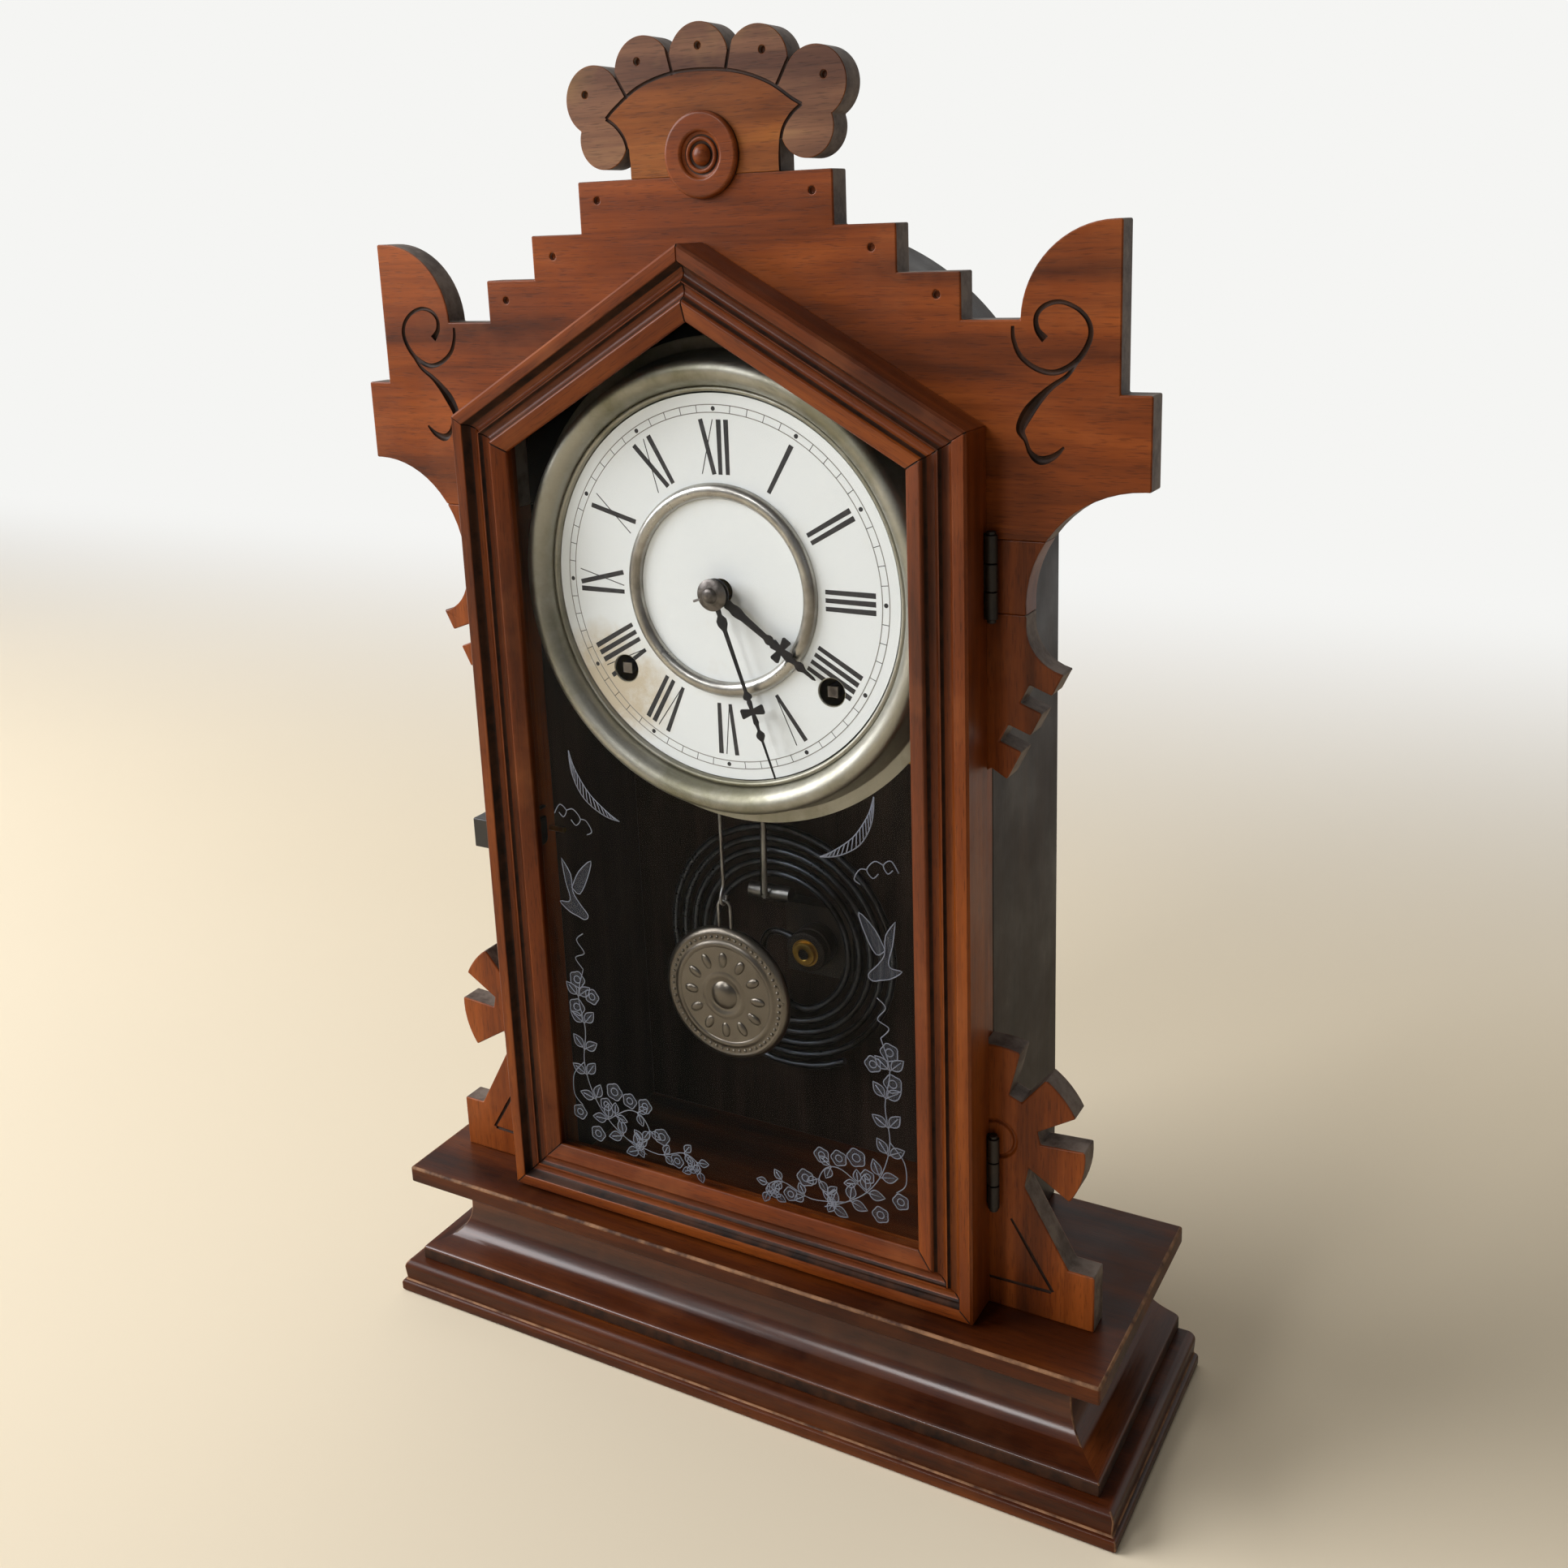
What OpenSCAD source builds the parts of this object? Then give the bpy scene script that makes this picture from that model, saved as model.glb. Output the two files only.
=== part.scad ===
// Gabled walnut shelf clock with a stepped, lobed crest, side brackets and an ogee base.
// Millimetres. X runs to the viewer's right, Y runs to the back, Z runs up.
// The origin is at the middle of the base, on the surface that the clock stands on.
// Depths are measured forwards from the back plane of the clock.

/* [Base] */
// Width over the plinth moulding
plinth_w = 288.4; // [270:1:310]
// Depth over the plinth moulding
plinth_d = 95.8; // [92:0.5:110]
// Height of the plinth moulding
plinth_h = 13; // [10:0.5:18]
// Thickness of the plinth moulding, front to back
plinth_t = 20; // [16:1:26]
// Width over the lower edge of the ogee moulding
ogee_w = 273.6; // [262:1:276]
// Depth over the lower edge of the ogee moulding
ogee_d = 89.6; // [86:0.5:92]
// Height of the ogee moulding
ogee_h = 35; // [28:0.5:44]
// Thickness of the ogee moulding
ogee_t = 24; // [20:1:30]
// Depth of the cove that is cut in the ogee moulding
cove_in = 14.2; // [8:0.2:16]
// Width of the board on top of the base
deck_w = 274.4; // [260:1:286]
// Depth of the board on top of the base
deck_d = 91.7; // [86:0.5:95]
// Thickness of the board on top of the base
deck_t = 6.5; // [5:0.5:9]

/* [Case] */
// Width over the case sides
case_w = 180; // [176:0.5:182]
// Thickness of the case sides and the arched top
side_t = 8; // [6:0.5:8]
// Depth of the case sides
case_d = 59.1; // [57:0.5:62]
// Height of the springing line of the arched top above the deck
spring_h = 255.8; // [250:0.5:262]
// Thickness of the back board
back_t = 5; // [4:0.5:6]
// Thickness of the boards of the front frame
frame_t = 9; // [7:0.5:10]
// Width of the front stiles
stile_w = 10; // [9:0.5:12]

/* [Gable board] */
// Half width and height of the top step, from the springing line
step_1 = [45, 105.5];
// Half width and height of the second step
step_2 = [64.8, 89.7];
// Half width and height of the third step
step_3 = [84.5, 75.9];
// Height of the ledge beside the ears
ledge_h = 62.4; // [58:0.5:66]
// Radius of the quarter circle of an ear
ear_r = 26.9; // [22:0.5:30]
// Half width over the ears
ear_x = 131.1; // [128:0.5:134]
// Height of the ear's lower end
ear_low = 42; // [38:0.5:46]
// Half width over the square tabs
tab_x = 140.2; // [136:0.5:143]
// Height of the tab's lower end
tab_low = 15.5; // [12:0.5:18]
// Radius of the hollow under the tab
hollow_r = 35; // [32:0.5:38]
// Half width of the neck below the hollow
neck_x = 104; // [100:0.5:106]
// Radius of the drilled dimples
dimple_r = 1.1; // [0.8:0.1:1.6]
// Depth of the drilled dimples
dimple_d = 1.6; // [1:0.1:3]

/* [Brackets] */
// Height of the cheek piece under the gable board
cheek_h = 22; // [18:0.5:26]
// Height of the slanting edge of the middle bracket
mid_h = 34; // [30:0.5:38]
// Height of the middle bracket's hooked top
hook_h = 17; // [14:0.5:20]
// Half width over the middle bracket's hook
hook_x = 115.3; // [112:0.1:118]
// Half width at the middle bracket's foot
mid_x = 98.1; // [96:0.1:102]
// Half width of the fan's centre
fan_x = 94.5; // [93:0.5:97]
// Height of the fan's centre above the deck
fan_h = 61.3; // [58:0.1:66]
// Radius of the fan's teeth
fan_r = 29.3; // [26:0.1:31]
// Height of the lower bracket's square foot
foot_h = 20; // [16:0.5:24]
// Half width over the lower bracket's foot
foot_x = 127.3; // [124:0.1:131]

/* [Crest] */
// Sideways offset of the crest from the centre line
crest_x = 1.5; // [0:0.5:3]
// Radius of a crest lobe
lobe_r = 10.3; // [9.5:0.1:11]
// Radius of the curl under the end lobes
curl_r = 8.8; // [8:0.1:10]
// Half width of the crest's neck
crest_neck = 26.4; // [22:0.5:30]
// Radius of the turned roundel
roundel_r = 12.8; // [10:0.2:15]
// Height of the roundel's flat band over the board
roundel_h = 1.9; // [1.5:0.1:3]

/* [Door] */
// Width over the door
door_w = 184.2; // [182:0.5:190]
// Height of the door's shoulders above the springing line of the case
shoulder_h = 32.8; // [29:0.2:36]
// Height of the door's gable above the shoulders
door_gable_h = 53.4; // [48:0.5:58]
// Gap under the door
door_foot_gap = 1; // [0.5:0.1:2]
// Width of the door's members
rail_w = 20; // [19:0.5:22]
// Thickness of the door's members
rail_t = 15.1; // [14.6:0.1:17]
// Width of the glass rabbet
rabbet_w = 5.5; // [4:0.5:6.5]
// Thickness of the lip in front of the glass
lip_t = 4.5; // [4.2:0.1:5]
// Thickness of the glass
glass_t = 2; // [1.5:0.1:2.5]
// Side of the square glass beads
bead_s = 3; // [2:0.5:3.5]
// Gap between the door and the front frame
door_gap = 0.3; // [0.2:0.1:0.6]

/* [Hinges and latch] */
// Height of a hinge
hinge_h = 25; // [18:1:34]
// Radius of a hinge knuckle
knuckle_r = 1.9; // [1.6:0.1:2]
// Radius of a hinge pin
hinge_pin_r = 0.8; // [0.6:0.05:1]
// Thickness of a hinge leaf
leaf_t = 1; // [0.8:0.1:1]
// Length of a hinge leaf from the pin
leaf_w = 14; // [12:0.5:15]
// Height of the lower hinge above the deck
hinge_low = 50; // [30:1:70]
// Distance of the upper hinge below the springing line of the case
hinge_drop = 10.8; // [0:0.2:30]
// Height of the latch above the deck
latch_h = 137.5; // [120:0.5:150]
// Side of the square latch knob
knob_s = 11; // [8:0.5:13]

/* [Dial] */
// Distance of the hand arbor below the springing line of the case
dial_drop = 23.1; // [20:0.1:26]
// Radius of the dial paper
paper_r = 63.5; // [60:0.5:64]
// Radius of the crown of the dial pan's bezel
bezel_r = 71; // [69:0.5:72]
// Outer radius of the dial pan's flange
flange_r = 81; // [79:0.5:81.5]
// How far the dial paper stands in front of the case
paper_out = 7.4; // [6.9:0.1:7.9]
// Outer radius of the raised centre ring
ring_r = 35.2; // [30:0.2:40]
// Width of the raised centre ring
ring_w = 5; // [3:0.2:7]
// Distance of a winding hole from the centre line
wind_x = 39; // [38.6:0.1:39.4]
// Distance of the winding holes below the hand arbor
wind_z = 29.7; // [29.3:0.1:30.1]
// Radius of a winding hole in the dial
wind_hole_r = 4.6; // [4:0.1:6]
// Length of the minute hand
minute_len = 63; // [50:0.5:64]
// Length of the hour hand
hour_len = 43.5; // [36:0.5:50]

/* [Movement] */
// Width of the movement plates
plate_w = 122; // [121:0.5:126]
// Thickness of the movement plates
plate_t = 1.5; // [1.2:0.1:1.8]
// Gap between the movement plates
plate_gap = 30.5; // [30.5:0.1:31]
// Gap between the back board and the back plate
plate_stand = 9; // [8.6:0.1:9.4]
// Radius of a pivot
pivot_r = 0.8; // [0.6:0.05:0.9]
// Running clearance of pivots and pins
run_fit = 0.05; // [0.02:0.01:0.08]
// Tooth module of the great wheels
great_m = 0.7; // [0.68:0.01:0.7]
// Length of the pendulum from its suspension to the middle of the bob
pend_len = 211; // [200:1:220]
// Radius of the pendulum bob
bob_r = 25; // [20:0.5:28]
// Thickness of the pendulum bob
bob_t = 9; // [6:0.5:10]
// Sideways offset of the pendulum
pend_x = -11; // [-11.5:0.1:-10.5]

/* [Gong] */
// Outer radius of the gong coil
gong_r = 49; // [44:0.5:52]
// Distance between the coil's turns
gong_pitch = 4.5; // [4.2:0.1:4.8]
// Number of whole turns of the coil
gong_turns = 5; // [4:1:5]
// Diameter of the gong wire
gong_wire = 2.6; // [2:0.1:3]
// Height of the gong's centre above the deck
gong_h = 86.5; // [80:0.5:92]
// Sideways place of the gong's centre
gong_x = -10; // [-12:0.5:-8]
// Radius of the gong's brass boss
boss_r = 8; // [6:0.5:9]

/* [Hidden] */
$fn = 48;

walnut = "#7a3e22";
dark_walnut = "#4a2419";
brass = "#b8963e";
steel = "#8d9095";
zinc = "#a39f86";
far = 400; // longer than any part, for cuts

// Derived places
deck_z = plinth_h + ogee_h + deck_t;
spring_z = deck_z + spring_h;
frame_d = case_d + frame_t;
half_case = case_w / 2;
inner_x = half_case - side_t;
stile_in = half_case - stile_w;
seat = 0.1; // glue line or seat between two curved or nested faces

function yb(d) = plinth_d / 2 - d; // Y of a depth measured from the back plane
function arc(c, r, a0, a1, n) = [for (i = [0:n]) c + r * [cos(a0 + (a1 - a0) * i / n), sin(a0 + (a1 - a0) * i / n)]];
function mirrored(p) = concat(p, [for (i = [len(p) - 1:-1:0]) [-p[i][0], p[i][1]]]);
function bez(a, b, c, d, n) = [for (i = [0:n]) let (t = i / n)
    a * pow(1 - t, 3) + b * 3 * t * pow(1 - t, 2) + c * 3 * t * t * (1 - t) + d * pow(t, 3)];

// A flat piece drawn in X and Z, between two depths from the back plane
module slab(d0, d1) {
    translate([0, yb(d0), 0]) rotate([90, 0, 0]) linear_extrude(d1 - d0) children();
}

// A round rod along Y between two depths
module rod(x, z, r, d0, d1) {
    translate([x, yb(d0), z]) rotate([90, 0, 0]) cylinder(r = r, h = d1 - d0);
}

// A cone along Y between two depths
module taper(x, z, r0, r1, d0, d1) {
    translate([x, yb(d0), z]) rotate([90, 0, 0]) cylinder(r1 = r0, r2 = r1, h = d1 - d0);
}

// ---------------------------------------------------------------- base

// Cross-sections: x is the inset from the outer face, y is the height
ogee_edge = 5.2; // upright edge at the moulding's foot
ogee_section = concat(
    [[0, 0], [0, ogee_edge - 0.8]],
    bez([0, ogee_edge - 0.8], [0.6, ogee_edge + 2.2], [cove_in + 0.6, ogee_edge - 0.6], [cove_in, ogee_h * 0.6], 14),
    [[cove_in - 0.4, ogee_h * 0.82], [cove_in - 1.6, ogee_h], [ogee_t, ogee_h], [ogee_t, 0]]);

bead_h = plinth_h * 0.36; // height of the plinth's lower bead
plinth_section = concat(
    arc([1.2, 1.2], 1.2, 270, 180, 4),
    arc([1.2, bead_h - 1.2], 1.2, 180, 90, 4),
    [[1.6, bead_h + 0.2], [1.6, bead_h + 1]],
    arc([4, plinth_h - 2.8], 2.8, 180, 90, 6),
    [[plinth_t, plinth_h], [plinth_t, 0]]);

// The length of moulding across the front, mitred at both ends
module moulding_front(section, w, d) {
    intersection() {
        translate([-w / 2, yb(d), 0]) rotate([90, 0, 90]) linear_extrude(w) polygon(section);
        linear_extrude(far) polygon([[-w / 2, yb(d)], [w / 2, yb(d)], [w / 2 - d, yb(0)], [-w / 2 + d, yb(0)]]);
    }
}

// The length along the right side, mitred at the front
module moulding_side(section, w, d) {
    difference() {
        translate([w / 2, yb(0), 0]) rotate([90, 0, 0]) linear_extrude(d) polygon([for (p = section) [-p[0], p[1]]]);
        linear_extrude(far) polygon([[w / 2 + 1, yb(d) - 1], [w / 2 - d, yb(0)], [w / 2 - d, yb(d) - 1]]);
    }
}

module moulding(section, w, d) {
    moulding_front(section, w, d);
    moulding_side(section, w, d);
    mirror([1, 0, 0]) moulding_side(section, w, d);
}

module plinth_moulding() color(dark_walnut) moulding(plinth_section, plinth_w, plinth_d);

module ogee_moulding() color(dark_walnut) translate([0, 0, plinth_h]) moulding(ogee_section, ogee_w, ogee_d);

module deck_board() {
    color(walnut) translate([-deck_w / 2, yb(deck_d), deck_z - deck_t]) cube([deck_w, deck_d, deck_t]);
}

rail_d = 10; // thickness of the rail that closes the back of the base
module base_back_rail() {
    w = ogee_w - 2 * ogee_t;
    color(dark_walnut) translate([-w / 2, yb(rail_d), 0]) cube([w, rail_d, deck_z - deck_t]);
}

// ---------------------------------------------------------------- case

module case_side() {
    translate([inner_x, yb(case_d), deck_z]) cube([side_t, case_d, spring_h]);
}
module case_side_right() color(dark_walnut) case_side();
module case_side_left() color(dark_walnut) mirror([1, 0, 0]) case_side();

module case_arch() {
    color(dark_walnut) intersection() {
        difference() {
            rod(0, spring_z, half_case, 0, case_d);
            rod(0, spring_z, inner_x, -1, case_d + 1);
        }
        translate([-far / 2, yb(case_d + 1), spring_z]) cube([far, case_d + 2, far]);
    }
}

module case_back() {
    color(dark_walnut) {
        difference() {
            union() {
                translate([-inner_x, yb(back_t), deck_z]) cube([2 * inner_x, back_t, spring_h]);
                rod(0, spring_z, inner_x - seat, 0, back_t);
            }
            translate([-far / 2, yb(back_t + 1), deck_z - far]) cube([far, back_t + 2, far]);
        }
    }
}

module front_stiles() {
    color(walnut)
        for (s = [-1, 1])
            difference() {
                translate([s * (half_case - stile_w / 2) - stile_w / 2, yb(frame_d), deck_z])
                    cube([stile_w, frame_t, spring_h]);
                if (s < 0) rod_x(-half_case, latch_z, keeper_d, keeper_r, stile_w + 1);
            }
}

// Outline of the frame's hollow: the quarter curve that runs from the tab to the neck
hollow_c = [neck_x + hollow_r, spring_z + tab_low - hollow_r];
cheek_low = spring_z - cheek_h; // joint between the cheek and the middle bracket
function hollow_x(z) = hollow_c[0] - sqrt(pow(hollow_r, 2) - pow(z - hollow_c[1], 2));

// The opening in the gable board follows the door, one overlap inside it
overlap = door_w / 2 - stile_in;
shoulder_z = spring_z + shoulder_h;
apex_z = shoulder_z + door_gable_h;
gable_a = atan2(door_gable_h, door_w / 2); // slope of the door's gable
function inset_shoulder(t) = shoulder_z - t * (1 - sin(gable_a)) / cos(gable_a);
function inset_apex(t) = apex_z - t / cos(gable_a);

ear_c = [ear_x - 2.1, spring_z + step_1[1] - 16.8 - ear_r]; // centre of the ear's quarter circle
gable_half = concat(
    [[step_1[0], spring_z + step_1[1]], [step_1[0], spring_z + step_2[1]],
     [step_2[0], spring_z + step_2[1]], [step_2[0], spring_z + step_3[1]],
     [step_3[0], spring_z + step_3[1]], [step_3[0], spring_z + ledge_h],
     [ear_c[0] - ear_r, spring_z + ledge_h]],
    arc(ear_c, ear_r, 178, 90, 16),
    [[ear_x, ear_c[1] + ear_r], [ear_x, spring_z + ear_low],
     [tab_x, spring_z + ear_low], [tab_x, spring_z + tab_low]],
    [for (p = arc(hollow_c, hollow_r, 91, 150, 10)) if (p[1] > spring_z + 0.5) p],
    [[hollow_x(spring_z), spring_z], [stile_in, spring_z],
     [stile_in, inset_shoulder(overlap)], [0, inset_apex(overlap)]]);

// Places of the drilled dimples on the steps
dimples = [[step_1[0] - 6.9, spring_z + step_1[1] - 5.8], [step_2[0] - 8, spring_z + step_2[1] - 6.6],
           [step_3[0] - 7.5, spring_z + step_3[1] - 6.4]];

module gable_board() {
    color(walnut) difference() {
        slab(case_d, frame_d) polygon(mirrored(gable_half));
        for (p = dimples, s = [-1, 1])
            rod(s * p[0], p[1], dimple_r, frame_d - dimple_d, frame_d + 1);
    }
}

module cheek() {
    slab(case_d, frame_d) polygon(concat(
        [[half_case, cheek_low], [half_case, spring_z], [hollow_x(spring_z), spring_z]],
        [for (i = [1:5]) let (z = spring_z - i * (spring_z - cheek_low) / 6) [hollow_x(z), z]],
        [[hollow_x(cheek_low), cheek_low]]));
}
module cheek_blocks() {
    color(walnut) {
        cheek();
        mirror([1, 0, 0]) cheek();
    }
}

// Middle bracket, below the cheek: a hooked top and two slots in its slanting edge
mid_tip = [hook_x, cheek_low - hook_h];
mid_foot = [mid_x, mid_tip[1] - mid_h];
function mid_edge(t) = mid_tip + (mid_foot - mid_tip) * t; // along the slanting edge
slot_dir = [-7, 2.6]; // direction and length of a slot
module mid_bracket() {
    slab(case_d, frame_d) polygon(concat(
        [[half_case, cheek_low], [hollow_x(cheek_low), cheek_low]],
        arc([hollow_x(cheek_low) + 14, cheek_low - 3], 14, 182, 258, 8),
        [mid_tip, mid_edge(0.19), mid_edge(0.19) + slot_dir, mid_edge(0.36) + slot_dir, mid_edge(0.36),
         mid_edge(0.57), mid_edge(0.57) + slot_dir, mid_edge(0.73) + slot_dir, mid_edge(0.73),
         mid_foot, mid_foot + [-5, 3], [half_case, mid_foot[1] + 0.8]]));
}
module mid_bracket_right() color(walnut) mid_bracket();
module mid_bracket_left() color(walnut) mirror([1, 0, 0]) mid_bracket();

// Lower bracket: a fan of teeth round a ring, on a slanting leg with a square foot
fan_c = [fan_x, deck_z + fan_h];
fan_in = fan_r * 0.5; // radius where the slots between the teeth end
foot_w = 8.7; // width of the square foot
function polar(r, a) = fan_c + r * [cos(a), sin(a)];
module lower_bracket() {
    difference() {
        slab(case_d, frame_d) polygon(concat(
            [[half_case, deck_z], [half_case, fan_c[1] + fan_r * 1.11]],
            arc(fan_c, fan_r * 1.11, 94, 76, 3),
            [polar(fan_in + 2, 76), polar(fan_in + 2, 60)],
            arc(fan_c, fan_r, 56, 27, 6),
            [polar(fan_in, 22), polar(fan_in, 5)],
            arc(fan_c, fan_r, 4.5, -34, 7),
            [polar(fan_in * 0.91, -37), [fan_x + 9.3, fan_c[1] - fan_in - 0.6],
             [foot_x - foot_w, deck_z + foot_h], [foot_x, deck_z + foot_h], [foot_x, deck_z]]));
        difference() {
            rod(fan_c[0], fan_c[1], 6.8, frame_d - 1, frame_d + 1);
            rod(fan_c[0], fan_c[1], 5.6, frame_d - 2, frame_d + 2);
        }
    }
}
module lower_bracket_right() color(walnut) lower_bracket();
module lower_bracket_left() color(walnut) mirror([1, 0, 0]) lower_bracket();

// ---------------------------------------------------------------- crest

crest_z = spring_z + step_1[1];
lobes = [[0, 33.3], [19.8, 31], [38.5, 23.9]]; // lobe centres above the crest's foot
curl_c = [35.6, 12];
lobe_dimple = 3.6; // how far a dimple stands out from its lobe's centre
module crest_board() {
    color(walnut) translate([crest_x, 0, 0]) difference() {
        union() {
            slab(case_d, frame_d) polygon([for (p = mirrored([[crest_neck, 0], [crest_neck, 9],
                curl_c, lobes[2], lobes[1] + [2, 2]])) p + [0, crest_z]]);
            for (s = [-1, 1]) {
                for (p = lobes) rod(s * p[0], crest_z + p[1], lobe_r, case_d, frame_d);
                rod(s * curl_c[0], crest_z + curl_c[1], curl_r, case_d, frame_d);
            }
        }
        for (p = lobes, s = [-1, 1])
            let (q = p + lobe_dimple * p / norm(p))
                rod(s * q[0], crest_z + q[1], dimple_r, frame_d - dimple_d, frame_d + 1);
    }
}

module crest_roundel() {
    color(dark_walnut) translate([crest_x, yb(frame_d), crest_z + 5.9]) rotate([90, 0, 0])
        rotate_extrude() polygon(concat(
            [[0, 0], [roundel_r, 0]],
            arc([roundel_r - 1.2, roundel_h - 1.2], 1.2, 0, 90, 6),
            arc([roundel_r * 0.6, roundel_h - 1], 1, 90, 180, 5),
            [[roundel_r * 0.46, 0.4]],
            arc([roundel_r * 0.37, 0.4], 0.7, 0, 180, 6),
            arc([0, roundel_h + 0.7 - roundel_r * 0.27], roundel_r * 0.27, 17, 90, 8)));
}

// ---------------------------------------------------------------- door

door_back = frame_d + door_gap;
door_front = door_back + rail_t;
door_z = deck_z + door_foot_gap;
half_door = door_w / 2;

// Section of a member: x is the inset from the outer edge, y is the depth behind the front face
reed_r = 2.3;
door_section = concat(
    [[0, 0.8], [0.8, 0], [4.4, 0], [4.8, 1.4]],
    [for (k = [0, 1]) each arc([4.9 + reed_r * (2 * k + 1) + 0.1, 1.7], reed_r - 0.1, 172, 8, 8)],
    [[14.6, 1.5], [15.2, 1.2], [rail_w - 0.4, 3], [rail_w, 3.4], [rail_w, lip_t],
     [rail_w - rabbet_w, lip_t], [rail_w - rabbet_w, rail_t], [0, rail_t]]);

// Corners of a pentagon that lies t inside the door's outline
function door_ring(t) = [[-half_door + t, door_z + t], [half_door - t, door_z + t],
    [half_door - t, inset_shoulder(t)], [0, inset_apex(t)], [-half_door + t, inset_shoulder(t)]];

// One member, from corner i to the next, with mitred ends
module door_member(i) {
    ring = door_ring(0);
    core = door_ring(rail_w);
    p = ring[i];
    q = ring[(i + 1) % 5];
    run = q - p;
    long = norm(run);
    intersection() {
        translate([p[0], yb(door_front), p[1]]) rotate([0, -atan2(run[1], run[0]), 0])
            rotate([90, 0, 90]) linear_extrude(long)
                polygon([for (s = door_section) [s[1], s[0]]]);
        slab(door_back - 1, door_front + 1) polygon([p, q, core[(i + 1) % 5], core[i]]);
    }
}

hinge_zs = [deck_z + hinge_low, spring_z - hinge_drop];
hinge_gap = 0.3; // clearance round a knuckle and between the leaves
hinge_x = half_door + hinge_gap + knuckle_r;
hinge_d = frame_d + hinge_gap + knuckle_r;
mortise_d = frame_d + leaf_t + hinge_gap + leaf_t; // floor of the door's hinge mortises

module door_stile_right() {
    color(walnut) difference() {
        door_member(1);
        for (z = hinge_zs)
            translate([half_door - leaf_w, yb(mortise_d), z - hinge_h / 2 - hinge_gap])
                cube([leaf_w + 1, mortise_d - door_back + 1, hinge_h + 2 * hinge_gap]);
    }
}
module door_stile_left() {
    color(walnut) difference() {
        door_member(4);
        rod_x(-half_door - 1, latch_z, latch_d, spindle_r + run_fit, rail_w + 2);
    }
}
module door_bottom_rail() color(walnut) door_member(0);
module door_gable_right() color(walnut) door_member(2);
module door_gable_left() color(walnut) door_member(3);

glass_front = door_front - lip_t;
glass_back = glass_front - glass_t;
module door_glass() {
    color("#c8d6d2", 0.35) slab(glass_back, glass_front) polygon(door_ring(rail_w - rabbet_w + 0.4));
}

module glass_beads() {
    outer = door_ring(rail_w - rabbet_w);
    inner = door_ring(rail_w - rabbet_w + bead_s);
    color(walnut)
        for (i = [0:4])
            let (j = (i + 1) % 5)
                slab(glass_back - bead_s, glass_back) polygon([outer[i], outer[j], inner[j], inner[i]]);
}

// ---------------------------------------------------------------- hinges

knuckle_gap = 0.2;
module hinge_leaf(z, d0, outer) {
    third = hinge_h / 3;
    difference() {
        union() {
            translate([hinge_x - leaf_w, yb(d0 + leaf_t), z - hinge_h / 2]) cube([leaf_w, leaf_t, hinge_h]);
            translate([hinge_x, yb(hinge_d), z - hinge_h / 2]) cylinder(r = knuckle_r, h = hinge_h);
        }
        for (k = outer ? [1] : [0, 2])
            translate([hinge_x - knuckle_r - 1, yb(hinge_d + knuckle_r + 1),
                       z - hinge_h / 2 + k * third - (k == 0 ? 1 : knuckle_gap)])
                cube([2 * knuckle_r + 2, 2 * knuckle_r + 2, third + knuckle_gap + (k == 1 ? knuckle_gap : 1)]);
        translate([hinge_x, yb(hinge_d), z - hinge_h]) cylinder(r = hinge_pin_r + run_fit, h = 2 * hinge_h);
    }
}
module hinge_case_leaves() color(brass) for (z = hinge_zs) hinge_leaf(z, frame_d, true);
module hinge_door_leaves() color(brass) for (z = hinge_zs) hinge_leaf(z, frame_d + leaf_t + hinge_gap, false);
module hinge_pins() {
    color(steel)
        for (z = hinge_zs) {
            translate([hinge_x, yb(hinge_d), z - hinge_h / 2 - 1]) cylinder(r = hinge_pin_r, h = hinge_h + 2);
            for (s = [-1, 1])
                translate([hinge_x, yb(hinge_d), z + s * (hinge_h / 2 + 0.6)])
                    cylinder(r = hinge_pin_r + 0.6, h = 1, center = true);
        }
}

// ---------------------------------------------------------------- latch

latch_z = deck_z + latch_h;
tongue_w = 5;
tongue_t = 1.4;
latch_d = door_back + 0.4 + tongue_w / 2; // depth of the spindle
spindle_r = 1.5;
keeper_r = 1;
keeper_reach = 9.5; // from the spindle to the keeper pin
keeper_d = latch_d - keeper_reach;
notch_r = keeper_r + hinge_gap; // half width of the tongue's notch
tongue_x = -half_door + rail_w - rabbet_w + hinge_gap;

// A rod along X from x0, at a depth and a height
module rod_x(x0, z, d, r, h) {
    translate([x0, yb(d), z]) rotate([0, 90, 0]) cylinder(r = r, h = h);
}

// The knob, its spindle and the hooked tongue; the tongue stands up when the door is free
module latch_knob() {
    color("#1c1a19") {
        difference() {
            translate([-half_door - hinge_gap - knob_s, yb(latch_d + knob_s / 2), latch_z - knob_s / 2])
                cube([knob_s, knob_s, knob_s]);
            translate([-half_door - knob_s - 1, yb(latch_d), latch_z]) rotate([0, 90, 0]) cylinder(r = 1.6, h = 1.2);
        }
        rod_x(-half_door - hinge_gap - 1, latch_z, latch_d, spindle_r,
              tongue_x + tongue_t + half_door + hinge_gap + 1);
        difference() {
            union() {
                translate([tongue_x, yb(latch_d + tongue_w / 2), latch_z])
                    cube([tongue_t, tongue_w, keeper_reach + tongue_w / 2]);
                rod_x(tongue_x, latch_z, latch_d, tongue_w / 2, tongue_t);
            }
            translate([tongue_x - 1, yb(latch_d + notch_r), latch_z + keeper_reach - notch_r - 0.4])
                cube([tongue_t + 2, tongue_w, 2 * notch_r + 0.4]);
        }
    }
}

module latch_keeper() {
    color(brass) rod_x(-half_case + 1, latch_z, keeper_d, keeper_r, stile_w + 5);
}

// ---------------------------------------------------------------- dial

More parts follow.
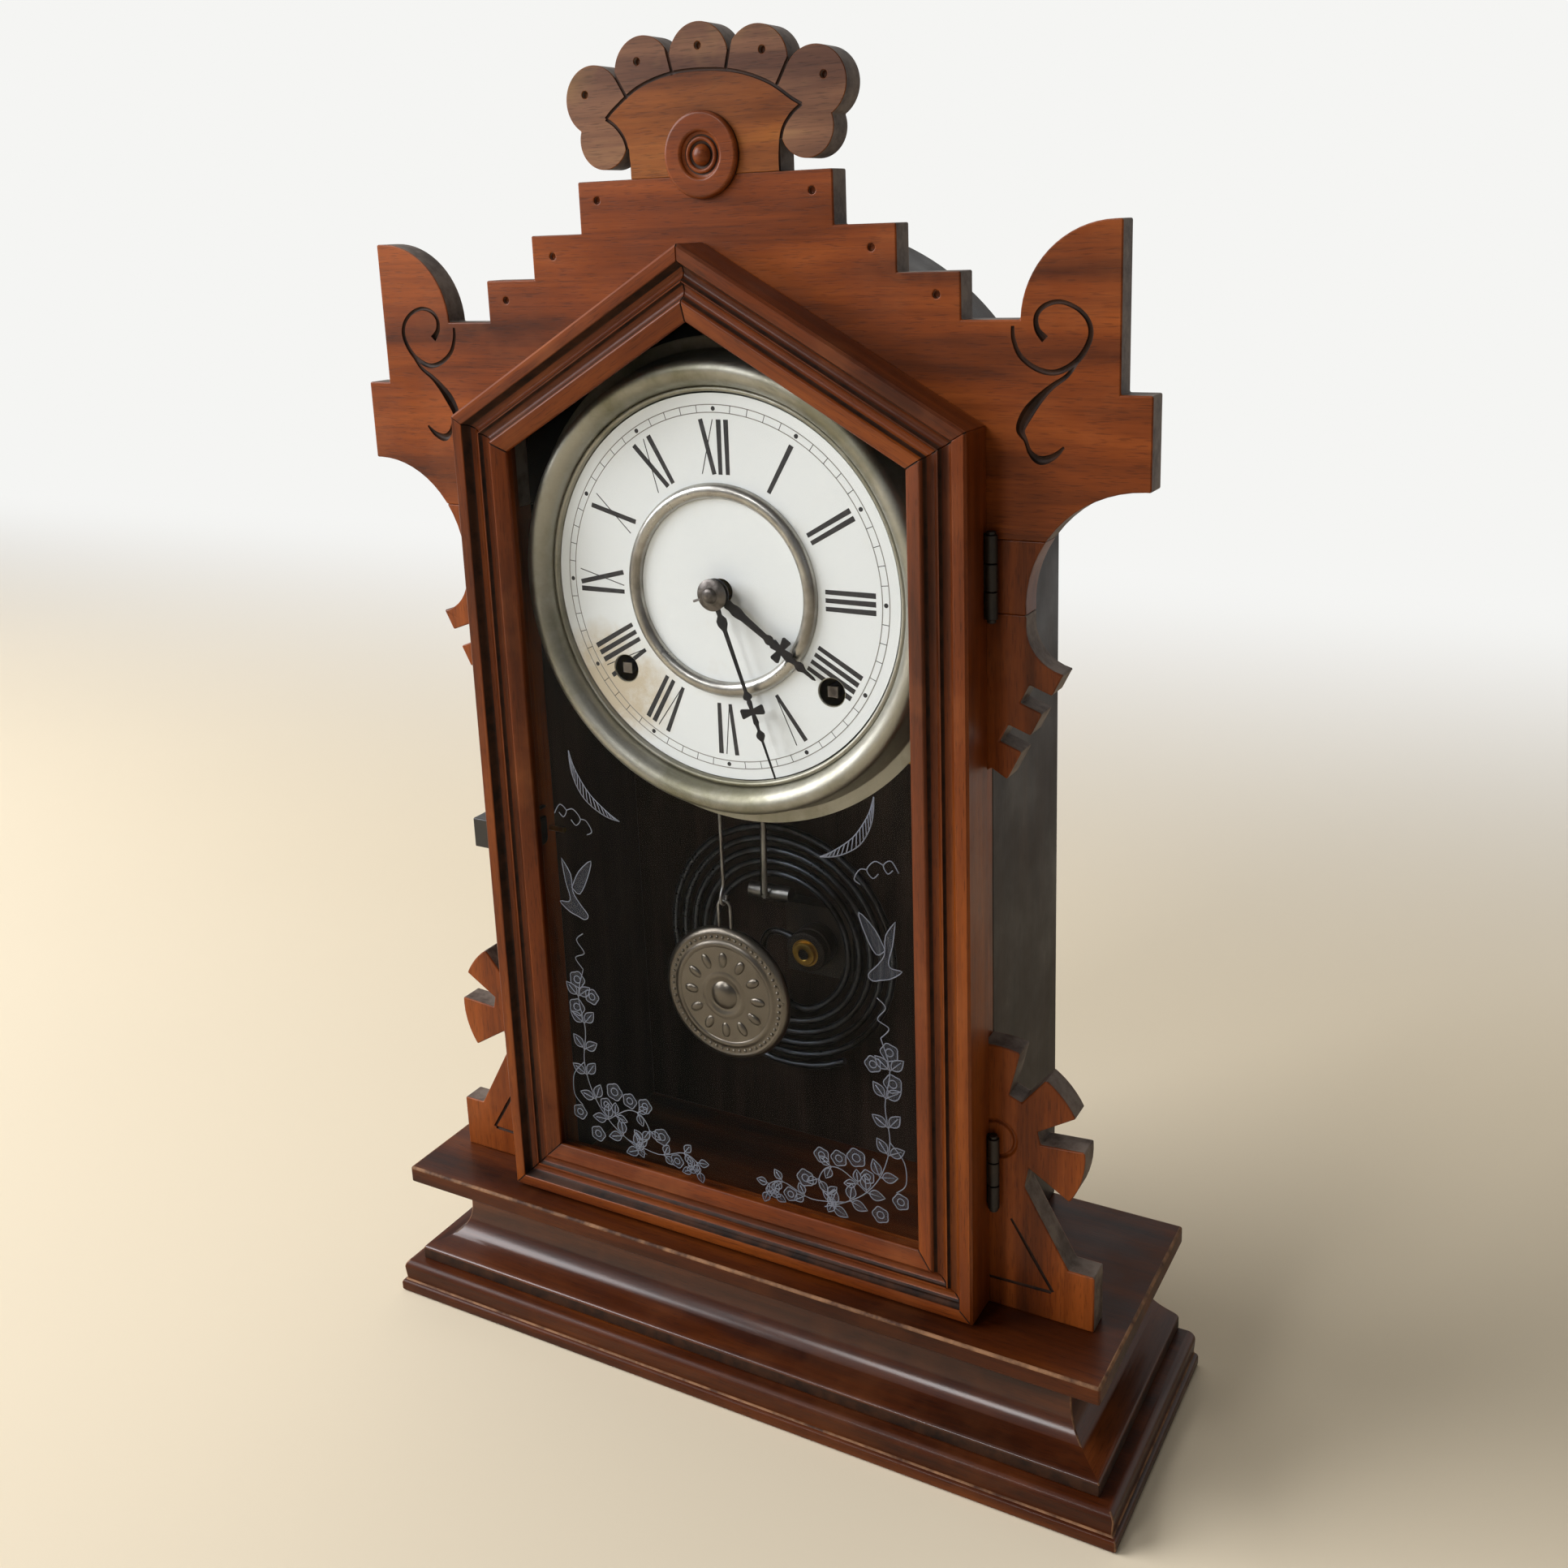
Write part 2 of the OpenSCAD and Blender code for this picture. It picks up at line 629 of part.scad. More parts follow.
dial_z = spring_z - dial_drop;
wind_pts = [[-wind_x, dial_z - wind_z], [wind_x, dial_z - wind_z]];
pan_t = 0.5;
hand_t = 0.7;
paper_d = case_d + paper_out;
pan_d = paper_d - 0.3; // front of the pan's plate, behind the paper
hour_hand_d = paper_d + ring_w / 2 + 0.9; // back of each hand; the hour hand clears the raised ring
minute_hand_d = hour_hand_d + 1.6;
bezel_top = paper_d + 6.3; // depth of the bezel's crown
bezel_drop = 75; // radius where the skirt starts
pan_front = concat(
    [[0, pan_d], [paper_r + 0.6, pan_d]],
    bez([paper_r + 1, pan_d + 1.8], [paper_r + 2.4, bezel_top - 1], [bezel_r - 2, bezel_top], [bezel_r, bezel_top], 8),
    bez([bezel_r + 0.8, bezel_top], [bezel_drop - 1, bezel_top], [bezel_drop, bezel_top - 1], [bezel_drop, bezel_top - 3], 5),
    [[bezel_drop + 1.8, case_d - seat], [flange_r, case_d - seat]]);

// A path made t thick, on its right-hand side
function beside(p, i, t) = let (a = p[max(i - 1, 0)], b = p[min(i + 1, len(p) - 1)], v = b - a)
    p[i] + t * [v[1], -v[0]] / norm(v);
function sheet(p, t) = concat(p, [for (i = [len(p) - 1:-1:0]) beside(p, i, t)]);

tack_r = 0.7;
tack_a = 13.5; // angle of the tacks above and below the hand arbor
tack_pts = [for (s = [-1, 1], a = [-tack_a, tack_a]) [s * (flange_r - 2.2) * cos(a), dial_z + (flange_r - 2.2) * sin(a)]];

module dial_pan() {
    color(zinc) difference() {
        translate([0, yb(0), dial_z]) rotate([90, 0, 0]) rotate_extrude($fn = 96) polygon(sheet(pan_front, pan_t));
        for (p = wind_pts) rod(p[0], p[1], wind_hole_r, case_d, paper_d + 9);
        rod(0, dial_z, 4.2, case_d, paper_d + 9);
        for (p = tack_pts) rod(p[0], p[1], tack_r + seat / 2, case_d - 9, case_d + 1);
    }
}

module dial_paper() {
    color("#e8e6dc") difference() {
        rod(0, dial_z, paper_r, pan_d, paper_d);
        for (p = wind_pts) rod(p[0], p[1], wind_hole_r + 0.3, pan_d - 1, paper_d + 1);
        rod(0, dial_z, 4.2, pan_d - 1, paper_d + 1);
    }
}

module dial_ring() {
    color(zinc) translate([0, yb(paper_d), dial_z]) rotate([90, 0, 0]) rotate_extrude($fn = 96)
        polygon(concat([[ring_r - ring_w, 0], [ring_r, 0]],
            arc([ring_r - ring_w / 2, 0], ring_w / 2, 20, 160, 8)));
}

// Blocks on the case sides carry the pan's flange
block_t = 12; // depth of a block
block_w = 7.2;
block_h = 9;
tack_len = 8;
module dial_blocks() {
    color(dark_walnut) difference() {
        for (s = [-1, 1], p = [tack_pts[0], tack_pts[1]])
            translate([s * (inner_x - block_w / 2) - block_w / 2, yb(case_d - seat - pan_t), p[1] - block_h / 2])
                cube([block_w, block_t, block_h]);
        for (p = tack_pts) rod(p[0], p[1], tack_r + seat / 2, case_d - seat - tack_len - seat, case_d + 1);
    }
}

module dial_tacks() {
    color(brass) for (p = tack_pts) {
        rod(p[0], p[1], tack_r, case_d - seat - tack_len, case_d + 0.2);
        rod(p[0], p[1], 1.4, case_d - seat, case_d + 0.5);
    }
}

// ---------------------------------------------------------------- movement

plate_0 = back_t + plate_stand; // back of the back plate
plate_1 = plate_0 + plate_t;
plate_2 = plate_1 + plate_gap;
plate_3 = plate_2 + plate_t; // front of the front plate
plate_below = 57; // reach of the plates below the hand arbor
plate_above = 71;
plate_low = dial_z - plate_below;
plate_high = dial_z + plate_above;

// Teeth of each wheel and leaves of each pinion
great_n = 72;
second_n = 60;
leaf_n = 12;
centre_pin_n = 20;
centre_n = 72;
centre_m = great_m * 0.8;
third_pin_n = 8;
third_n = 84;
third_m = great_m * 0.63;
escape_pin_n = 7;
escape_n = 36;
escape_r = 14;

function reach(a, b, m) = (a + b) * m / 2; // centre distance of a wheel and a pinion

// A point at distances ra and rb from a and b, on the left of the way from a to b
function meet(a, b, ra, rb) =
    let (v = b - a, l = norm(v), k = (ra * ra - rb * rb + l * l) / (2 * l), h = sqrt(ra * ra - k * k))
        a + v / l * k + [-v[1], v[0]] / l * h;

hub = [0, dial_z];
great_p = [wind_x, dial_z - wind_z];
second_p = meet(hub, great_p, reach(second_n, centre_pin_n, great_m), reach(great_n, leaf_n, great_m));
escape_p = [pend_x, dial_z + 39.3];
third_p = meet(escape_p, hub, reach(third_n, escape_pin_n, third_m), reach(centre_n, third_pin_n, centre_m));
s_great_p = [-great_p[0], great_p[1]];
s_second_p = [-second_p[0], second_p[1]];
cam_n = 56;
cam_m = great_m * 0.714;
fly_pin_n = 8;
cam_p = s_second_p + reach(second_n, leaf_n, great_m) * [cos(102.9), sin(102.9)];
fly_p = cam_p + reach(cam_n, fly_pin_n, cam_m) * [cos(55.8), sin(55.8)];
hammer_p = hub + [-12, -35.2];
verge_p = escape_p + [0, 18];
post_z = verge_p[1] + 5.5;

// A toothed disc with a gap between teeth at the angle gap_a; deep in X and Z, flat in Y
module teeth(n, m, gap_a) {
    pr = n * m / 2;
    step = 360 / n;
    polygon([for (k = [0:n - 1]) let (a = gap_a + (k + 0.5) * step)
        each [for (q = [[-0.24, -1.15], [-0.2, 0], [-0.07, 0.8], [0.07, 0.8], [0.2, 0], [0.24, -1.15]])
            (pr + q[1] * m) * [cos(a + q[0] * step), sin(a + q[0] * step)]]]);
}

module wheel(p, n, m, gap_a, d0, d1, bore) {
    difference() {
        translate([p[0], 0, p[1]]) slab(d0, d1) teeth(n, m, gap_a);
        rod(p[0], p[1], bore, d0 - 1, d1 + 1);
    }
}

// A lantern pinion: round leaves between two end discs, one leaf at the angle leaf_a
module lantern(p, n, m, leaf_a, d0, d1) {
    pr = n * m / 2;
    for (d = [d0 - 0.8, d1]) rod(p[0], p[1], pr + 0.62 * m, d, d + 0.8);
    for (k = [0:n - 1])
        let (a = leaf_a + k * 360 / n)
            rod(p[0] + pr * cos(a), p[1] + pr * sin(a), 0.52 * m, d0 - 0.4, d1 + 0.4);
}

module arbor(p, r) {
    rod(p[0], p[1], r, plate_1 + 0.3, plate_2 - 0.3);
    rod(p[0], p[1], pivot_r, plate_0 - 0.4, plate_3 + 0.4);
}

function way(a, b) = atan2(b[1] - a[1], b[0] - a[0]);

great_d = plate_1 + 1.4; // back of the great wheels
train_d = plate_2 - 3.6; // back of the second wheel, near the front plate
time_arbors = [second_p, third_p, s_second_p, cam_p, fly_p, hammer_p, escape_p];
great_r = 2.4;
centre_r = 1.6;
pillar_pts = [[-57, -52.8], [57, -52.8], [-52, 62], [52, 62]];

module plate(d0) {
    difference() {
        translate([-plate_w / 2, yb(d0 + plate_t), plate_low]) cube([plate_w, plate_t, plate_high - plate_low]);
        for (p = time_arbors) rod(p[0], p[1], pivot_r + run_fit, d0 - 1, d0 + plate_t + 1);
        for (p = [great_p, s_great_p]) rod(p[0], p[1], great_r + run_fit, d0 - 1, d0 + plate_t + 1);
        rod(hub[0], hub[1], centre_r + run_fit, d0 - 1, d0 + plate_t + 1);
        for (p = pillar_pts) rod(p[0], dial_z + p[1], stud_r + seat / 2, d0 - 1, d0 + plate_t + 1);
    }
}
module back_plate() color(brass) plate(plate_0);
module front_plate() {
    color(brass) plate(plate_2);
    // Studs for the minute wheel and the verge
    color(steel) {
        rod(minute_p[0], minute_p[1], 1, plate_3, plate_3 + 5.6);
        rod(verge_p[0], verge_p[1], 1, plate_3, plate_3 + 5.2);
    }
}

stud_r = 1.4;
module pillars() {
    color(steel)
        for (p = pillar_pts) {
            rod(p[0], dial_z + p[1], 2.4, plate_1, plate_2);
            rod(p[0], dial_z + p[1], stud_r, plate_0 - 1, plate_3 + 3);
            rod(p[0], dial_z + p[1], 3, back_t, plate_0);
        }
}

module pillar_nuts() {
    color(steel)
        for (p = pillar_pts)
            translate([p[0], yb(plate_3), dial_z + p[1]]) rotate([90, 0, 0]) difference() {
                cylinder(r = 3, h = 2.2, $fn = 6);
                translate([0, 0, -1]) cylinder(r = stud_r + seat / 2, h = 5);
            }
}

// Mainsprings: flat spirals hooked to the lower pillars
spring_w = 15; // width of the strip
spring_turns = 7;
strip_t = 0.6;
spring_in = great_r + 1.6;
spring_out = 20;
function coil_r(a) = spring_in + (spring_out - spring_in) * a / (360 * spring_turns);
module mainspring(p, anchor) {
    n = spring_turns * 18;
    end_a = way(p, anchor) - 78;
    turn = 360 * spring_turns;
    pts = [for (i = [0:n]) let (a = turn * i / n, d = end_a - turn + a) coil_r(a) * [cos(d), sin(d)]];
    hook = anchor - p + (2.4 + strip_t) * [cos(end_a), sin(end_a)];
    slab(great_d + 6.5, great_d + 6.5 + spring_w) translate(p) polygon(concat(
        [for (q = pts) q * (1 + strip_t / 2 / norm(q))], [hook + strip_t / 2 * [cos(end_a), sin(end_a)]],
        [hook - strip_t / 2 * [cos(end_a), sin(end_a)]],
        [for (i = [n:-1:0]) pts[i] * (1 - strip_t / 2 / norm(pts[i]))]));
}
module mainsprings() {
    color(steel) {
        mainspring(great_p, [pillar_pts[1][0], dial_z + pillar_pts[1][1]]);
        mirror([1, 0, 0]) mainspring(great_p, [pillar_pts[1][0], dial_z + pillar_pts[1][1]]);
    }
}

pend_d = 56.5; // depth of the pendulum's plane
module suspension_post() {
    color(brass) difference() {
        union() {
            rod(pend_x, post_z + 3, 2.6, plate_3, pend_d + 2.6);
            translate([pend_x - 1.8, yb(pend_d + 2.6), post_z]) cube([3.6, 5.2, 3]);
        }
        translate([pend_x - 0.35, yb(pend_d + 3), post_z - 1]) cube([0.7, 6, 5.2]);
    }
}

// Great wheels, each on its winding arbor with a square end
module great_wheel(p, mate) {
    wheel(p, great_n, great_m, way(p, mate), great_d, great_d + 2, great_r - 0.2);
    rod(p[0], p[1], great_r, plate_0 - 0.6, plate_3 + 4);
    rod(p[0], p[1], great_r + 1.2, great_d + 2, great_d + 6.2);
    wheel(p, 18, 0.62, 5, great_d + 3.2, great_d + 4.6, great_r - 0.2);
    translate([p[0] - 1.8, yb(pan_d - 0.4), p[1] - 1.8]) cube([3.6, pan_d - 0.4 - plate_3 - 3, 3.6]);
}
module time_main_wheel() color(brass) great_wheel(great_p, second_p);
count_r = 1.8; // end of the strike arbor that carries the count wheel
module strike_main_wheel() color(brass) {
    great_wheel(s_great_p, s_second_p);
    rod(s_great_p[0], s_great_p[1], count_r, count_d - 1.4, plate_0);
}

module time_second_wheel() {
    color(brass) {
        arbor(second_p, 1.5);
        lantern(second_p, leaf_n, great_m, way(second_p, great_p), great_d - 0.2, great_d + 2.4);
        wheel(second_p, second_n, great_m, way(second_p, hub), train_d, train_d + 1.2, 1.2);
    }
}

centre_d = train_d - 5; // back of the centre wheel
module centre_arbor() {
    color(brass) {
        rod(hub[0], hub[1], centre_r, plate_0 - 0.6, plate_3 + 4.6);
        rod(hub[0], hub[1], 1.2, plate_3 + 4.4, minute_hand_d + 3);
        lantern(hub, centre_pin_n, great_m, way(hub, second_p), train_d - 0.2, train_d + 1.6);
        wheel(hub, centre_n, centre_m, way(hub, third_p), centre_d, centre_d + 1, 1.2);
        wheel(hub, leaf_n, motion_m, way(hub, minute_p) + 180 / leaf_n, plate_3 + 0.6, plate_3 + 2.4, 1);
    }
}

third_d = plate_1 + 8;
module third_wheel() {
    color(brass) {
        arbor(third_p, 1.2);
        lantern(third_p, third_pin_n, centre_m, way(third_p, hub), centre_d - 0.2, centre_d + 1.2);
        wheel(third_p, third_n, third_m, way(third_p, escape_p), third_d, third_d + 0.9, 1);
    }
}

escape_d = plate_3 + 2.6; // back of the escape wheel, in front of the plate
module escape_wheel() {
    color(brass) {
        arbor(escape_p, 1.1);
        rod(escape_p[0], escape_p[1], pivot_r, plate_3, escape_d + 1.4);
        rod(escape_p[0], escape_p[1], 2.2, escape_d - 1.6, escape_d);
        lantern(escape_p, escape_pin_n, third_m, way(escape_p, third_p), third_d - 0.2, third_d + 1.1);
        translate([escape_p[0], 0, escape_p[1]]) slab(escape_d, escape_d + 0.9)
            difference() {
                polygon([for (k = [0:escape_n - 1]) let (a = k * 360 / escape_n)
                    each [escape_r * [cos(a), sin(a)], (escape_r - 2.4) * [cos(a + 2), sin(a + 2)],
                          (escape_r - 2.6) * [cos(a + 7), sin(a + 7)]]]);
                for (k = [0:4]) rotate(k * 72) translate([6.8, 0]) circle(r = 2.9);
            }
    }
}

// The verge rocks on its stud: a saddle, two pallets clear of the wheel, and the crutch
crutch_z = post_z - 40; // height of the crutch's loop
crutch_d = escape_d + 2.4;
module verge() {
    color(steel) {
        difference() {
            rod(verge_p[0], verge_p[1], 2.2, plate_3 + 0.4, crutch_d + 0.8);
            rod(verge_p[0], verge_p[1], 1 + run_fit, plate_3 - 1, crutch_d + 2);
        }
        translate([verge_p[0], 0, verge_p[1]]) slab(escape_d - 0.4, escape_d + 1.3) difference() {
            polygon([[-2, 1.6], [2, 1.6], [10.6, -1.6], [13.6, -9.4], [12.6, -9.4], [9.4, -3.2],
                     [0, -1.8], [-9.4, -3.2], [-12.6, -9.4], [-13.6, -9.4], [-10.6, -1.6]]);
            circle(r = 1.6);
        }
        translate([verge_p[0] - 0.7, yb(crutch_d + 0.8), crutch_z]) cube([1.4, 1.2, verge_p[1] - crutch_z - 1.6]);
        translate([verge_p[0] - 1.9, yb(crutch_d + 0.8), crutch_z]) cube([3.8, 1.2, 1.2]);
        for (s = [-1, 1])
            translate([verge_p[0] + s * 1.4 - 0.5, yb(pend_d + 2.4), crutch_z]) cube([1, pend_d + 2.4 - crutch_d, 1.2]);
    }
}

// The pendulum hangs in its working place: a spring strip with a rolled top in the slot of the
// post, a wire leader and a hook
pend_r = 0.6;
bob_z = post_z - pend_len;
module pendulum_rod() {
    color(steel) {
        translate([pend_x - 0.1, yb(pend_d + 1.8), post_z - 28]) cube([0.2, 3.6, 30]);
        rod(pend_x, post_z, 0.3, pend_d - 1.8, pend_d + 1.8);
        translate([pend_x, yb(pend_d), bob_z + bob_r + 14]) cylinder(r = pend_r, h = post_z - 26 - bob_z - bob_r - 14);
        translate([pend_x, yb(pend_d), bob_z + bob_r + 8.5]) cylinder(r = 1.5, h = 7);
    }
}

module pendulum_bob() {
    color(brass) {
        translate([pend_x, yb(pend_d - bob_t / 2), bob_z]) rotate([90, 0, 0]) rotate_extrude()
            polygon(concat(bez([0, 0], [bob_r * 0.6, 0], [bob_r - 0.6, bob_t * 0.2], [bob_r, bob_t * 0.42], 8),
                bez([bob_r, bob_t * 0.58], [bob_r - 0.6, bob_t * 0.8], [bob_r * 0.6, bob_t], [0, bob_t], 8)));
        translate([pend_x, yb(pend_d), bob_z + bob_r - 2]) cylinder(r = 1.1, h = 10.5);
    }
}

// ---------------------------------------------------------------- motion work and hands

motion_m = 0.7;
minute_n = 36;
hour_n = 40;
hour_pin_n = 10;
hour_m = motion_m * (leaf_n + minute_n) / (hour_n + hour_pin_n);
minute_p = hub + reach(minute_n, leaf_n, motion_m) * [cos(-60), sin(-60)];
hour_d = plate_3 + 3.4; // back of the hour wheel
pipe_r = 3;
pipe_d = hour_hand_d + 1; // front of the hour wheel's pipe

module minute_wheel() {
    color(brass) difference() {
        union() {
            wheel(minute_p, minute_n, motion_m, way(minute_p, hub), plate_3 + 0.7, plate_3 + 2.1, 0.9);
            wheel(minute_p, hour_pin_n, hour_m, way(minute_p, hub), plate_3 + 2.1, plate_3 + 5, 0.9);
        }
        rod(minute_p[0], minute_p[1], 1 + run_fit, plate_3 - 1, plate_3 + 8);
    }
}

module hour_wheel() {
    color(brass) difference() {
        union() {
            wheel(hub, hour_n, hour_m, way(hub, minute_p) + 180 / hour_n, hour_d, hour_d + 1.3, 1);
            rod(hub[0], hub[1], pipe_r, hour_d, pipe_d);
        }
        rod(hub[0], hub[1], centre_r + 0.3, hour_d - 1, plate_3 + 5);
        rod(hub[0], hub[1], 1.2 + run_fit, hour_d - 1, pipe_d + 1.4);
    }
}

// A hand that points up, with a bulge on its stem, and a cross and a diamond near its tip
module hand_shape(len, cross, boss) {
    circle(r = boss);
    polygon([[-0.9, 0], [0.9, 0], [0.6, cross - 5], [1.6, cross - 4.4], [0.6, cross - 3.6], [0.5, len - 3],
             [0, len], [-0.5, len - 3], [-0.6, cross - 3.6], [-1.6, cross - 4.4], [-0.6, cross - 5]]);
    translate([0, 9.6]) rotate(45) square(2.8, center = true);
    for (a = [0, 90]) translate([0, cross]) rotate(a) square([8.6, 2.2], center = true);
    translate([0, cross + 8.3]) rotate(45) square(2.6, center = true);
}

// Clockwise angles of the hands from twelve; the hour hand is set a little slow, as on the real clock
minute_a = 161;
hour_a = 125.5;
module hour_hand() {
    color("#1a1a1c") difference() {
        translate([hub[0], 0, hub[1]]) slab(hour_hand_d, hour_hand_d + hand_t) rotate(-hour_a)
            hand_shape(hour_len, hour_len - 15, pipe_r + 2);
        rod(hub[0], hub[1], pipe_r, hour_hand_d - 1, hour_hand_d + 2);
    }
}
module minute_hand() {
    color("#1a1a1c") difference() {
        union() {
            translate([hub[0], 0, hub[1]]) slab(minute_hand_d, minute_hand_d + hand_t) rotate(-minute_a)
                hand_shape(minute_len, minute_len - 23.3, 3.6);
            taper(hub[0], hub[1], 5, 2.6, minute_hand_d + hand_t - 0.2, minute_hand_d + hand_t + 1.4);
        }
        rod(hub[0], hub[1], 1.2, minute_hand_d - 1, minute_hand_d + 4);
    }
}

// ---------------------------------------------------------------- strike train

s_second_d = great_d + 4.4;
module strike_second_wheel() {
    color(brass) {
        arbor(s_second_p, 1.5);
        lantern(s_second_p, leaf_n, great_m, way(s_second_p, s_great_p), great_d - 0.2, great_d + 2.4);
        wheel(s_second_p, second_n, great_m, way(s_second_p, cam_p), s_second_d, s_second_d + 1.2, 1.2);
    }
}

module strike_cam_wheel() {
    color(brass) {
        arbor(cam_p, 1.3);
        lantern(cam_p, leaf_n, great_m, way(cam_p, s_second_p), s_second_d - 0.2, s_second_d + 1.4);
        wheel(cam_p, cam_n, cam_m, way(cam_p, fly_p), s_second_d + 7.4, s_second_d + 8.4, 1);
    }
}

module fly() {
    color(brass) {
        arbor(fly_p, 0.9);
        lantern(fly_p, fly_pin_n, cam_m, way(fly_p, cam_p), s_second_d + 7.2, s_second_d + 8.6);
        translate([fly_p[0] - 9, yb(plate_2 - 2), fly_p[1] - 0.3]) cube([18, 9, 0.6]);
        translate([fly_p[0], yb(plate_2 - 2), fly_p[1]]) rotate([-90, 0, 0]) cylinder(r = 1.5, h = 9);
    }
}

// The count wheel turns loose on the end of the strike arbor, behind the back plate
count_d = plate_0 - 3; // back of the count wheel
module count_wheel() {
    color(brass) difference() {
        union() {
            translate([s_great_p[0], 0, s_great_p[1]]) slab(count_d, count_d + 1) difference() {
                circle(r = 21);
                for (k = [0:11]) rotate(k * 30 + k * 2) translate([20.4, 0]) square([3, 1.6], center = true);
            }
            rod(s_great_p[0], s_great_p[1], 3.2, count_d - 0.8, count_d + 2);
        }
        rod(s_great_p[0], s_great_p[1], count_r + run_fit, count_d - 2, plate_0);
    }
}

// The hammer: arbor, tail, and a stem that hangs in front of the coil and carries the head inside it
gong_z = deck_z + gong_h;
gong_d = 18; // depth of the coil's plane
head_r = 2.8;
coil_in = gong_r - gong_pitch * gong_turns; // radius where the innermost turn starts
head_len = coil_in * 0.642;
head_x = gong_x - coil_in * 0.162; // the head's left end rests close to the innermost turn
head_z = gong_z + coil_in * 0.774;
stem_d = gong_d + gong_wire / 2 + 3.2;
stem_r = 0.9;
module hammer() {
    drop = norm([head_x - hammer_p[0], hammer_p[1] - head_z]);
    lean = atan2(head_x - hammer_p[0], hammer_p[1] - head_z);
    color(steel) {
        arbor(hammer_p, 1.2);
        translate([hammer_p[0], yb(stem_d), hammer_p[1]]) rotate([0, -lean, 0]) translate([0, 0, -drop])
            cylinder(r = stem_r, h = drop);
        rod(hammer_p[0], hammer_p[1], 2.6, stem_d - 1.2, stem_d + 1.2);
        rod(head_x, head_z, stem_r, gong_d, stem_d + stem_r);
        translate([hammer_p[0], 0, hammer_p[1]]) slab(train_d - 6, train_d - 4.8) rotate(200)
            polygon([[-1, -1.4], [6, -0.5], [6, 0.5], [-1, 1.4]]);
    }
    color(brass) rod_x(head_x - head_len / 2, head_z, gong_d, head_r, head_len);
}

// ---------------------------------------------------------------- gong

coil_steps = 24; // rings in one turn
coil_sides = 6;
run_n = 14; // rings along the run to the boss
coil_a = -60; // angle where the coil leaves its spiral for the boss
boss_at = [12, 1]; // the boss stands beside the spiral's centre
lead_a = 160; // direction in which the wire leaves the boss
lead = [cos(lead_a), sin(lead_a)];
function spiral(a) = (coil_in + gong_pitch * a / 360) * [cos(coil_a + a), sin(coil_a + a)];
coil_run = bez(boss_at + (boss_r + 1) * lead, boss_at + (boss_r + 26) * lead,
    spiral(0) - 22 * [-sin(coil_a), cos(coil_a)], spiral(0), run_n);
coil_path = concat(
    [boss_at + (boss_r - 2) * lead],
    coil_run,
    [for (i = [1:gong_turns * coil_steps]) spiral(i * 360 / coil_steps)]);
coil_end = len(coil_path) - 1;
function coil_way(i) = let (a = coil_path[max(i - 1, 0)], b = coil_path[min(i + 1, coil_end)]) atan2(b[1] - a[1], b[0] - a[0]);
coil_points = [for (i = [0:coil_end], k = [0:coil_sides - 1])
    let (w = coil_way(i), s = 360 * (k + 0.5) / coil_sides, o = gong_wire / 2 * cos(s))
        [coil_path[i][0] - o * sin(w), coil_path[i][1] + o * cos(w), gong_wire / 2 * sin(s)]];
coil_faces = concat(
    [[for (k = [0:coil_sides - 1]) k]],
    [for (i = [0:coil_end - 1], k = [0:coil_sides - 1])
        let (a = i * coil_sides, b = a + coil_sides, n = (k + 1) % coil_sides) each [[a + k, b + k, b + n], [a + k, b + n, a + n]]],
    [[for (k = [coil_sides - 1:-1:0]) coil_end * coil_sides + k]]);

// Least gap between two stretches of the coil that lie at least half a turn apart
coil_gap = min([for (i = [0:coil_end], j = [i + 12:coil_end]) norm(coil_path[i] - coil_path[j])]) - gong_wire;
echo(coil_gap = coil_gap);

module gong_coil() {
    color("#3a3f46") translate([gong_x, yb(gong_d), gong_z]) rotate([90, 0, 0]) polyhedron(coil_points, coil_faces);
}

block_s = 28; // side of the iron block under the boss
boss_back = back_t + 7;
module gong_boss() {
    x = gong_x + boss_at[0];
    z = gong_z + boss_at[1];
    color(brass) difference() {
        union() {
            rod(x, z, boss_r, boss_back, gong_d + 5);
            rod(x, z, boss_r - 3.5, gong_d + 5, gong_d + 7);
        }
        translate([x, yb(gong_d), z]) rotate([90, 0, 0]) rotate(lead_a) translate([boss_r - 2.1, 0, 0])
            rotate([0, 90, 0]) cylinder(r = gong_wire / 2 + seat, h = 6);
    }
    color("#2a2a2c") translate([x - block_s / 2, yb(boss_back), z - block_s / 2]) cube([block_s, boss_back - back_t, block_s]);
}

// ---------------------------------------------------------------- what is drawn

deck_board();
plinth_moulding();
ogee_moulding();
base_back_rail();
case_side_left();
case_side_right();
case_arch();
case_back();
front_stiles();
gable_board();
cheek_blocks();
mid_bracket_left();
mid_bracket_right();
lower_bracket_left();
lower_bracket_right();
crest_board();
crest_roundel();
door_stile_left();
door_stile_right();
door_bottom_rail();
door_gable_left();
door_gable_right();
door_glass();
glass_beads();
hinge_case_leaves();
hinge_door_leaves();
hinge_pins();
latch_knob();
latch_keeper();
dial_pan();
dial_paper();
dial_ring();
dial_blocks();
dial_tacks();
back_plate();
front_plate();
pillars();
pillar_nuts();
mainsprings();
suspension_post();
time_main_wheel();
time_second_wheel();
centre_arbor();
third_wheel();
escape_wheel();
verge();
pendulum_rod();
pendulum_bob();
minute_wheel();
hour_wheel();
hour_hand();
minute_hand();
strike_main_wheel();
strike_second_wheel();
strike_cam_wheel();
fly();
count_wheel();
hammer();
gong_coil();
gong_boss();
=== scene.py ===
"""Looks of a gabled walnut shelf clock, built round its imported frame."""
import math

import bpy
from bpy.props import FloatProperty, FloatVectorProperty, PointerProperty
from mathutils import Matrix, Vector


